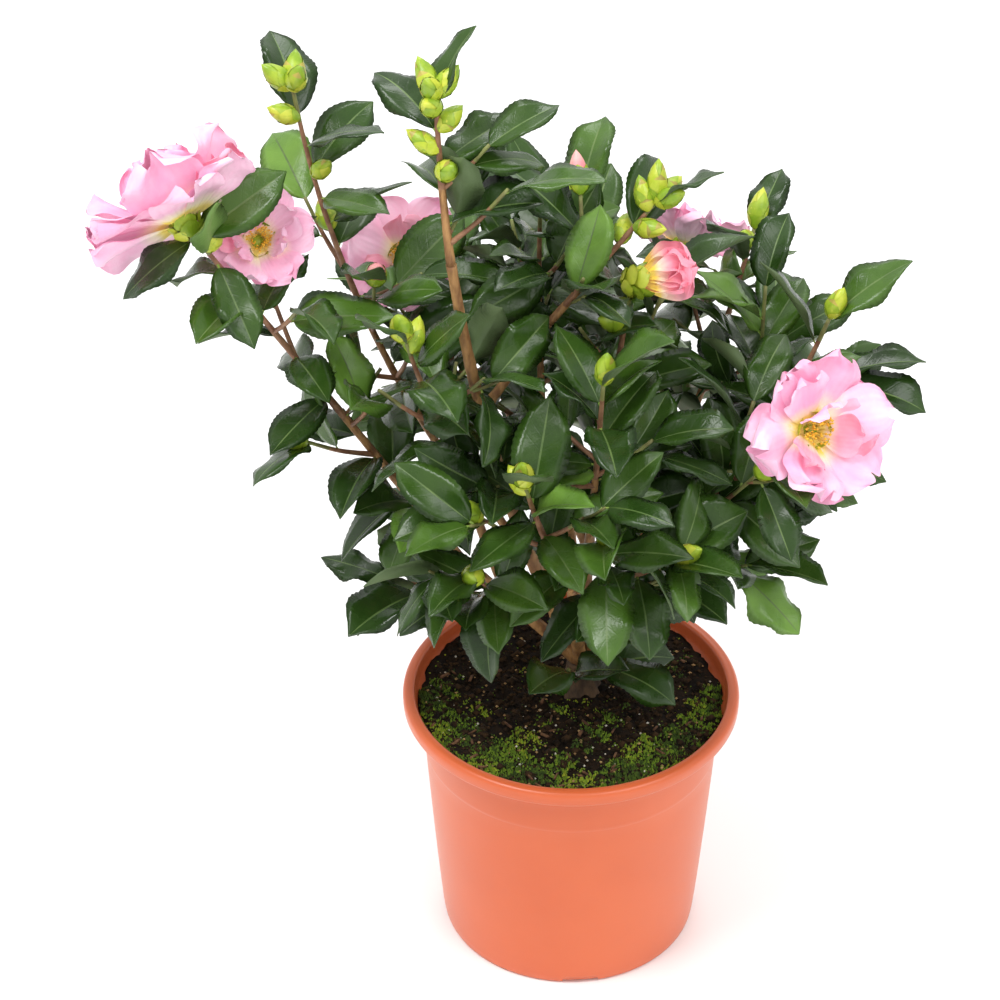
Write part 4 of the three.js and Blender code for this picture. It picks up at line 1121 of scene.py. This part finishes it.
def add_bud(shape, bud, draw):
    length = BUD["length"] * bud.scale * draw(1.0, 1.25)
    radius = BUD["width"] * bud.scale / 2 * draw(0.86, 1.0)
    around = turned(axes_round(bud.aim), round_angles(12))
    rings = []
    for share in np.linspace(0, 1, 9):
        out = max(bud_radius(share, radius * 0.95), 0.05)
        rings.append(bud.base + bud.aim * (share * length) + around * out)
    body = "bud_yellow" if draw(0, 1) < 0.35 else "bud_lime"
    shape.add_rings(rings, [[body]] * 4 + [["bud_pink" if bud.pink else body]] * 4)
    turn = draw(0, 6.3)
    tiers = [(0.2, 0.68 if bud.pink else 0.9), (0.08, 0.66), (0.0, 0.36)]  # where its scales start and end
    for tier, (start, end) in enumerate(tiers):
        lift = 0.12 + 0.16 * tier
        for k in range(3):
            middle = turn + 2 * math.pi * (k + 0.5 * tier) / 3 + draw(-0.15, 0.15)
            kind = "bud_lime" if draw(0, 1) < 0.6 else "bud_yellow"
            kinds = (kind, "bud_edge" if draw(0, 1) < 0.3 else kind)
            add_scale(shape, bud.base, bud.aim, radius, length, middle, 1.05, start, end, lift, kinds)


def make_buds(masses):
    buds = Shape("buds", "foliage", ["bud_lime", "bud_yellow", "bud_edge", "bud_pink"])
    draw = seeded(SEED["buds"])
    for mass in masses:
        for bud in mass.buds:
            add_bud(buds, bud, draw)
    buds.build()


# ---- blooms

USUAL_RADIUS = 45  # of a bloom, in millimetres
PALE_SHARE, PINK_SHARE = 0.5, 0.86  # the rest of the petals are deep pink
STAMENS = {"count": 70, "lean": 36, "seat": 2.0, "length": (10, 15), "bow": 0.8, "radii": (0.22, 0.2, 0.18)}


def petal_outline(share):
    """Half-widths of a petal: narrow claw, broad blunt blade."""
    return 0.15 * (1 - share) + np.maximum(np.sin(np.pi * np.clip(share, 0, 1) ** 1.75 * 0.97), 0) ** 0.55


def add_petal(shape, petal, draw, kind):
    """A ruffled petal with a notched tip."""
    rows, columns = 17, 17
    share, side = np.meshgrid(np.linspace(0.02, 1, rows), np.linspace(-1, 1, columns), indexing="ij")
    edge = np.abs(side)
    notch = draw(0.05, 0.12) * share**6 * np.exp(-((side / 0.34) ** 2)) + 0.05 * share**6 * side**2
    crimp = 0.014 * share**4 * np.sin(side * draw(7, 11) + draw(0, 6.3))
    reach = side * petal_outline(share) * petal.width / 2 * 1.26
    ruffle = draw(2.6, 6.0) * share**2 * np.sin(side * draw(2.8, 5.5) + draw(0, 6.3))
    flutter = draw(1.8, 4.2) * share**2 * edge**1.5
    flutter = flutter * np.sin(share * draw(12, 19) + np.sign(side) + draw(0, 6.3))
    cup = draw(-1.0, 4.0) * side**2 * share
    crease = 0.5 * share * np.sin(side * 17 + draw(0, 6.3))
    lift = (ruffle + flutter + cup + crease) * (petal.length / USUAL_RADIUS)
    points = petal.place(share - notch + crimp, reach, lift)
    shape.add(points, grid_faces(rows, columns), kind, np.stack([side / 2 + 0.5, share], axis=-1))


def loose_petals(bloom, draw):
    """Petals between those that the solids have."""
    petals = []
    axes = axes_round(bloom.face)
    seat = LOOSE_PETAL["seat"]
    for count, tilt, share, *bend in FULLER.get(bloom.carries, FULLER["any"]):
        turn = draw(0, 360)
        for k in range(count):
            around = turn + 360 * k / count + draw(*LOOSE_PETAL["around"])
            tilted = tilt + draw(*LOOSE_PETAL["tilt"])
            length = bloom.radius * share * draw(*LOOSE_PETAL["length"])
            width = length * draw(*LOOSE_PETAL["ratio"])
            petals.append(make_petal(bloom, axes, around, tilted, length, width, draw(*bend), seat))
    return petals


def add_stamens(shape, bloom, draw):
    """A brush of fine yellow filaments, each with an anther on its end."""
    size = bloom.radius / USUAL_RADIUS
    for _ in range(STAMENS["count"]):
        around = draw(0, 2 * math.pi)
        lean = math.radians(STAMENS["lean"] * math.sqrt(draw(0, 1)))
        radial = turned(axes_round(bloom.face), np.float64(around))
        aim = bloom.face * math.cos(lean) + radial * math.sin(lean)
        root = bloom.centre + radial * STAMENS["seat"]
        tip = root + aim * (draw(*STAMENS["length"]) * size)
        path = np.array([root, (root + tip) / 2 + radial * STAMENS["bow"], tip])
        add_tube(shape, path, STAMENS["radii"], 3, "stamen")
        add_grain(shape, tip, 0.75 * size + 0.2, "anther", draw)


def add_grain(shape, centre, size, kind, draw, flat=1.0):
    """A small uneven eight-faced grain."""
    corners = []
    for axis in range(3):
        for sign in (-1, 1):
            offset = np.zeros(3)
            offset[axis] = sign * size * draw(0.7, 1.2) * (flat if axis == 2 else 1)
            corners.append(centre + offset)
    faces = [(0, 4, 2), (2, 4, 1), (1, 4, 3), (3, 4, 0), (2, 5, 0), (1, 5, 2), (3, 5, 1), (0, 5, 3)]
    shape.add(corners, faces, kind)


def add_calyx(shape, bloom, draw):
    """Green sepals that hug the back of a bloom."""
    aim = bloom.face
    base = bloom.centre - aim * (CUP_SEAT + 1)
    size = 0.8 + 0.3 * bloom.radius / USUAL_RADIUS
    for tier, count in enumerate((5, 4, 5)):
        for k in range(count):
            middle = 2 * math.pi * (k + 0.4 * tier) / count + draw(-0.2, 0.2)
            kind = "bud_yellow" if draw(0, 1) < 0.6 else "bud_lime"
            end = 0.36 + 0.13 * tier + draw(-0.05, 0.05)
            lift = 0.4 + 0.3 * tier + draw(0, 1.2)
            start = base - aim * (3.0 * (2 - tier))
            add_scale(shape, start, aim, 7.5 * size, 17 * size, middle, 0.75, 0.02, end, lift, (kind, kind))
    path = base + np.outer(np.linspace(-2, 6, 5), aim)
    add_tube(shape, path, np.array([1.4, 3.4, 4.6, 4.4, 3.0]) * size, 10, "bud_lime")


def make_blooms(masses):
    """The half-open bloom keeps its petals curled in and shows no stamens."""
    petals = Shape("petals", "foliage", list(PETAL_FINISHES))
    stamens = Shape("stamens", "foliage", ["stamen", "anther"])
    calyxes = Shape("calyxes", "foliage", ["bud_lime", "bud_yellow"])
    draw = seeded(SEED["blooms"])
    for bloom in [bloom for mass in masses for bloom in mass.blooms]:
        closed = bloom.carries == "half bloom"
        own = [] if closed else bloom.petals
        for petal in own + loose_petals(bloom, draw):
            luck = draw(0, 1)
            kind = "petal_pale" if luck < PALE_SHARE else "petal_pink" if luck < PINK_SHARE else "petal_deep"
            add_petal(petals, petal, draw, "petal_coral" if closed else kind)
        if not closed:
            add_stamens(stamens, bloom, draw)
        add_calyx(calyxes, bloom, draw)
    for shape in (petals, stamens, calyxes):
        shape.build()


# ---- pot, soil


def pot_radius(z):
    return POT["foot"] + (POT["neck"] - POT["foot"]) * (z / POT["neck_height"]) ** POT["swell"]


def pot_profile():
    """The pot's section: outer wall up, rolled rim over, inner wall down."""
    top, neck, foot = POT_HEIGHT, POT["neck_height"], POT["foot"]
    step, out = STEP["height"], STEP["out"]
    rim, lip, bead = RIM_RADIUS, POT_HEIGHT - RIM["lip"], RIM["bead"]
    outer = [(foot - 4, 0), (foot - 1.6, 0), (foot - 0.5, 0.6), (foot, 1.8)]
    outer += [(pot_radius(z), z) for z in np.linspace(6, step - 1.2, 14)]
    outer += [(pot_radius(step) + 0.1, step - 0.4), (pot_radius(step) + out, step + 0.4)]
    outer += [(pot_radius(z) + out, z) for z in np.linspace(step + 2, neck - 5, 5)]
    outer += [(POT["neck"] + 1.4, neck - 1.5), (POT["neck"] + 3.4, neck + 0.8)]
    outer += [(rim - 5.0, lip + 0.4), (rim - 3.2, lip)]
    for angle in np.linspace(-70, 90, 10):
        a = math.radians(angle)
        centre_z = top - bead if angle > 0 else lip + bead
        outer.append((rim - bead + bead * math.cos(a), centre_z + bead * math.sin(a)))
    inside = pot_radius(neck)
    inner = [(rim - 5.4, top), (rim - 6.3, top - 0.5), (rim - 6.8, top - 2.2), (rim - 7.3, top - 6.0)]
    inner += [(INNER_EDGE, EDGE_HEIGHT), (inside, neck + 0.5), (inside - POT["wall"], neck - 3)]
    inner += [(pot_radius(z) - POT["wall"], z) for z in np.linspace(neck - 20, POT["floor"] + 4, 8)]
    return outer + inner + [(pot_radius(POT["floor"]) - POT["wall"] - 2, POT["floor"])]


def ring_points(profile, sides):
    return [[(r * math.cos(a), r * math.sin(a), z) for a in round_angles(sides)] for r, z in profile]


def cut(piece, cutter):
    """Takes a cutter's shape out of a piece for good."""
    modifier = piece.modifiers.new("cut", "BOOLEAN")
    modifier.operation = "DIFFERENCE"
    modifier.solver = "EXACT"
    modifier.object = cutter
    bpy.context.view_layer.objects.active = piece
    bpy.ops.object.modifier_apply(modifier=modifier.name)
    bpy.data.objects.remove(cutter)


def make_pot():
    """The pot, with notches across its foot and drain holes in its floor."""
    pot = Shape("pot_shell", "pot_plastic", ["pot"])
    pot.add_rings(ring_points(pot_profile(), POT_SIDES), "pot")
    cutters = Shape("cutter", "pot_plastic", ["pot"])
    high, deep = NOTCH["height"], NOTCH["depth"] / 2
    for k in range(NOTCH["count"]):
        axes = flat_axes(math.radians(NOTCH["azimuth"] + 360 * k / NOTCH["count"]))
        rings = []
        for z, wide in ((-high, NOTCH["width"] / 2), (high, (NOTCH["width"] - NOTCH["taper"]) / 2)):
            corners = [axes[0] * (POT["foot"] + x * deep) + axes[1] * (y * wide) for x, y in SQUARE]
            rings.append(np.array(corners) + (0, 0, z))
        cutters.add_rings(rings, "pot")
    for k in range(DRAIN["count"]):
        centre = flat_axes(2 * math.pi * (k + 0.5) / DRAIN["count"])[0] * DRAIN["ring"]
        hole = ring_points([(DRAIN["radius"], z * 2 * POT["floor"]) for z in (-1, 1)], DRAIN["sides"])
        cutters.add_rings(np.array(hole) + centre, "pot")
    cut(pot.build(["pot"]), add_object("cutter", cutters.mesh(smooth=False)))


def soil_height(x, y):
    """The soil's uneven top, in millimetres above the pot's underside."""
    swell = 1.1 * np.sin(0.055 * x + 1.3) * np.cos(0.047 * y - 0.6)
    lumps = 1.1 * np.sin(0.21 * x + 0.4 * np.sin(0.13 * y)) * np.sin(0.19 * y + 2.0)
    crumbs = 0.7 * np.sin(0.83 * x + 1.7 * np.sin(0.31 * y)) * np.sin(0.77 * y + 1.1 * np.sin(0.29 * x))
    fine = 0.3 * np.sin(1.9 * x + 2 * np.sin(0.9 * y)) * np.sin(2.1 * y + 1.3 * np.sin(1.1 * x))
    edge = 1.2 * smooth_step(60, 84, np.hypot(x, y))
    mound = 1.5 * np.exp(-(((x - FOOT["x"]) ** 2 + (y - FOOT["y"]) ** 2) / 700.0))
    return SOIL_TOP - 0.6 + swell + lumps + crumbs + fine + edge + mound


def make_soil():
    soil = Shape("soil_filling", "soil", ["soil"])
    wall = POT["wall"]
    body = [(pot_radius(4) - wall - 3, POT["floor"] + GAP)]
    body += [(pot_radius(z) - wall - 0.6, z) for z in (8.0, 50.0, 100.0, 144.0)]
    radii = np.linspace(INNER_EDGE - GAP, 1.0, SOIL_RINGS)
    radius, angle = np.meshgrid(radii, round_angles(SOIL_SIDES), indexing="ij")
    x, y = radius * np.cos(angle), radius * np.sin(angle)
    top = np.stack([x, y, soil_height(x, y)], axis=-1)
    soil.add_rings(ring_points(body, SOIL_SIDES) + list(top), "soil")
    soil.build(["soil"])


def scatter(draw, count, reach):
    """Points strewn over the soil within a radius, clear of the stem."""
    placed = []
    while len(placed) < count:
        radius = math.sqrt(draw(0, reach**2))
        angle = draw(0, 2 * math.pi)
        x, y = radius * math.cos(angle), radius * math.sin(angle)
        if math.hypot(x - FOOT["x"], y - FOOT["y"]) > FOOT["soil_radius"] + 1:
            placed.append((x, y, float(soil_height(x, y))))
    return placed


def moss_cover(x, y):
    """How mossy the soil is at a place, from 0 to 1: most in front and at the sides."""
    patches = math.sin(0.083 * x + 0.9) * math.cos(0.071 * y + 0.4)
    patches += 0.8 * math.sin(0.16 * x - 0.12 * y + 2.2)
    patches += 0.7 * math.sin(0.33 * y + 0.29 * x) + 0.4 * math.sin(0.61 * x - 0.47 * y)
    rim = 0.45 * smooth_step(50, 80, math.hypot(x, y))
    return float(smooth_step(0.25, 0.85, 0.10 + 0.36 * patches - 0.011 * y + rim))


def add_chip(shape, x, y, z, draw):
    """A tilted splinter of bark with a rough four-cornered outline."""
    turn, tilt = draw(0, math.pi), draw(-0.5, 0.5)
    along = np.array([math.cos(turn), math.sin(turn), 0]) * draw(1.2, 3.6)
    across = np.array([-math.sin(turn), math.cos(turn), tilt]) * draw(0.4, 1.1)
    thick = np.array([0, 0, draw(0.3, 0.8)])
    centre = np.array([x, y, z + draw(0.4, 1.6)])
    ends = [(-1, -1), (1, -0.7), (0.8, 0.9), (-0.9, 0.8)]
    lower = [centre + along * a + across * b - thick for a, b in ends]
    upper = [centre + along * a * 0.85 + across * b * 0.8 + thick for a, b in ends]
    shape.add_rings([lower, upper], "chip")


# Grains on the soil: how many, how high they sit, the limits of their size,
# their kind and how flat they are.
CRUMBS = [(2600, 0.2, 0.5, 1.9, "crumb", 0.7), (320, 0.6, 1.6, 3.6, "crumb", 0.6)]
GRIT = [(110, 0.8, 0.3, 1.0, "grit_pale", 1.0), (190, 0.7, 0.5, 1.4, "grit_tan", 0.6)]
LITTER_REACH = 82
CHIPS = 55
MOSS_REACH = 86
MOSS_TUFTS = 21000


def add_grains(shape, rows, draw):
    for count, height, small, large, kind, flat in rows:
        for x, y, z in scatter(draw, count, LITTER_REACH):
            add_grain(shape, np.array([x, y, z + height]), draw(small, large), kind, draw, flat)


def make_litter(draw):
    """Crumbs, bark chips and pale grit on top of the soil."""
    litter = Shape("soil_litter", "soil", ["crumb", "chip", "grit_pale", "grit_tan"])
    add_grains(litter, CRUMBS, draw)
    for x, y, z in scatter(draw, CHIPS, LITTER_REACH):
        add_chip(litter, x, y, z, draw)
    add_grains(litter, GRIT, draw)
    litter.build()


def make_moss(draw):
    """Moss in tufts, each a small uneven pyramid."""
    moss = Shape("moss", "soil", ["moss_deep", "moss_bright", "moss_yellow"])
    faces = [(0, k + 1, (k + 1) % 5 + 1) for k in range(5)] + [(5, 4, 3, 2, 1)]
    for x, y, z in scatter(draw, MOSS_TUFTS, MOSS_REACH):
        cover = moss_cover(x, y)
        if draw(0, 1) > cover + 0.03:
            continue
        bright = 0.55 * draw(0, 1) + 0.4 * math.sin(0.11 * x + 1.0) * math.cos(0.09 * y) + 0.22
        kind = "moss_yellow" if bright > 0.78 else "moss_bright" if bright > 0.42 else "moss_deep"
        size = draw(0.25, 0.75) * (0.8 + 0.4 * cover)
        corners = [(x, y, z + size * 0.8 + 1.9 * cover * draw(0.2, 1))]
        turn = draw(0, 6.3)
        for k in range(5):
            a = turn + 2 * math.pi * k / 5
            reach = size * draw(0.8, 1.5)
            corners.append((x + reach * math.cos(a), y + reach * math.sin(a), z - 0.3 + draw(0, 0.6)))
        moss.add(corners, faces, kind)
    moss.build(smooth=False)


# ---- floor, camera

FLOOR = {"reach": 6.0, "height": -0.0004, "colour": (0.97, 0.97, 0.97)}  # a hair below the pot
SKY = {"colour": (1, 1, 1, 1), "strength": 0.86}
# The camera looks down and to the left by degrees. Its lens is in millimetres.
CAMERA = {"place": (0, -1.768, 1.570), "down": 35.92, "left": 1.30, "sensor": 36, "lens": 144}
LIT = (0, 0, 0.3)  # the place that the lights point at
# Each light: its name, its place, its size and its power.
LIGHTS = [
    ("left", (-0.8, -0.6, 2.1), 0.9, 23),
    ("right", (1.0, -0.9, 1.8), 1.2, 13),
    ("rear", (0.1, 1.3, 2.1), 1.0, 13),
]


def make_floor():
    mesh = bpy.data.meshes.new("floor")
    corners = [(x * FLOOR["reach"], y * FLOOR["reach"], FLOOR["height"]) for x, y in SQUARE]
    mesh.from_pydata(corners, [], [(0, 1, 2, 3)])
    mesh.materials.append(Finish("floor", FLOOR["colour"], 0.7, 0.2).material)
    add_object("floor", mesh)


def make_studio():
    world = bpy.data.worlds.new("studio")
    world.use_nodes = True
    background = world.node_tree.nodes["Background"].inputs
    background["Color"].default_value = SKY["colour"]
    background["Strength"].default_value = SKY["strength"]
    scene = bpy.context.scene
    scene.world = world
    scene.view_settings.view_transform = "Standard"
    for name, location, size, power in LIGHTS:
        light = bpy.data.lights.new(name, "AREA")
        light.shape = "DISK"
        light.size = size
        light.energy = power
        lamp = add_object(name, light)
        lamp.location = location
        lamp.rotation_euler = (Vector(LIT) - Vector(location)).to_track_quat("-Z", "Y").to_euler()
    camera = bpy.data.cameras.new("camera")
    camera.sensor_width = CAMERA["sensor"]
    camera.lens = CAMERA["lens"]
    scene.camera = add_object("camera", camera)
    scene.camera.location = CAMERA["place"]
    scene.camera.rotation_euler = (math.radians(90 - CAMERA["down"]), 0, math.radians(CAMERA["left"]))


# ---- build

limbs = grow_limbs()
room = Room(limbs)
masses = grow_masses(limbs, room)
for index, mass in enumerate(masses):
    grow_finer(mass, index, room)
add_bloom_leaves(masses)

make_bark(limbs)
make_twigs(masses)
make_leaves(masses)
make_buds(masses)
make_blooms(masses)
make_pot()
make_soil()
strewn = seeded(SEED["soil"])
make_litter(strewn)
make_moss(strewn)
make_floor()
make_studio()
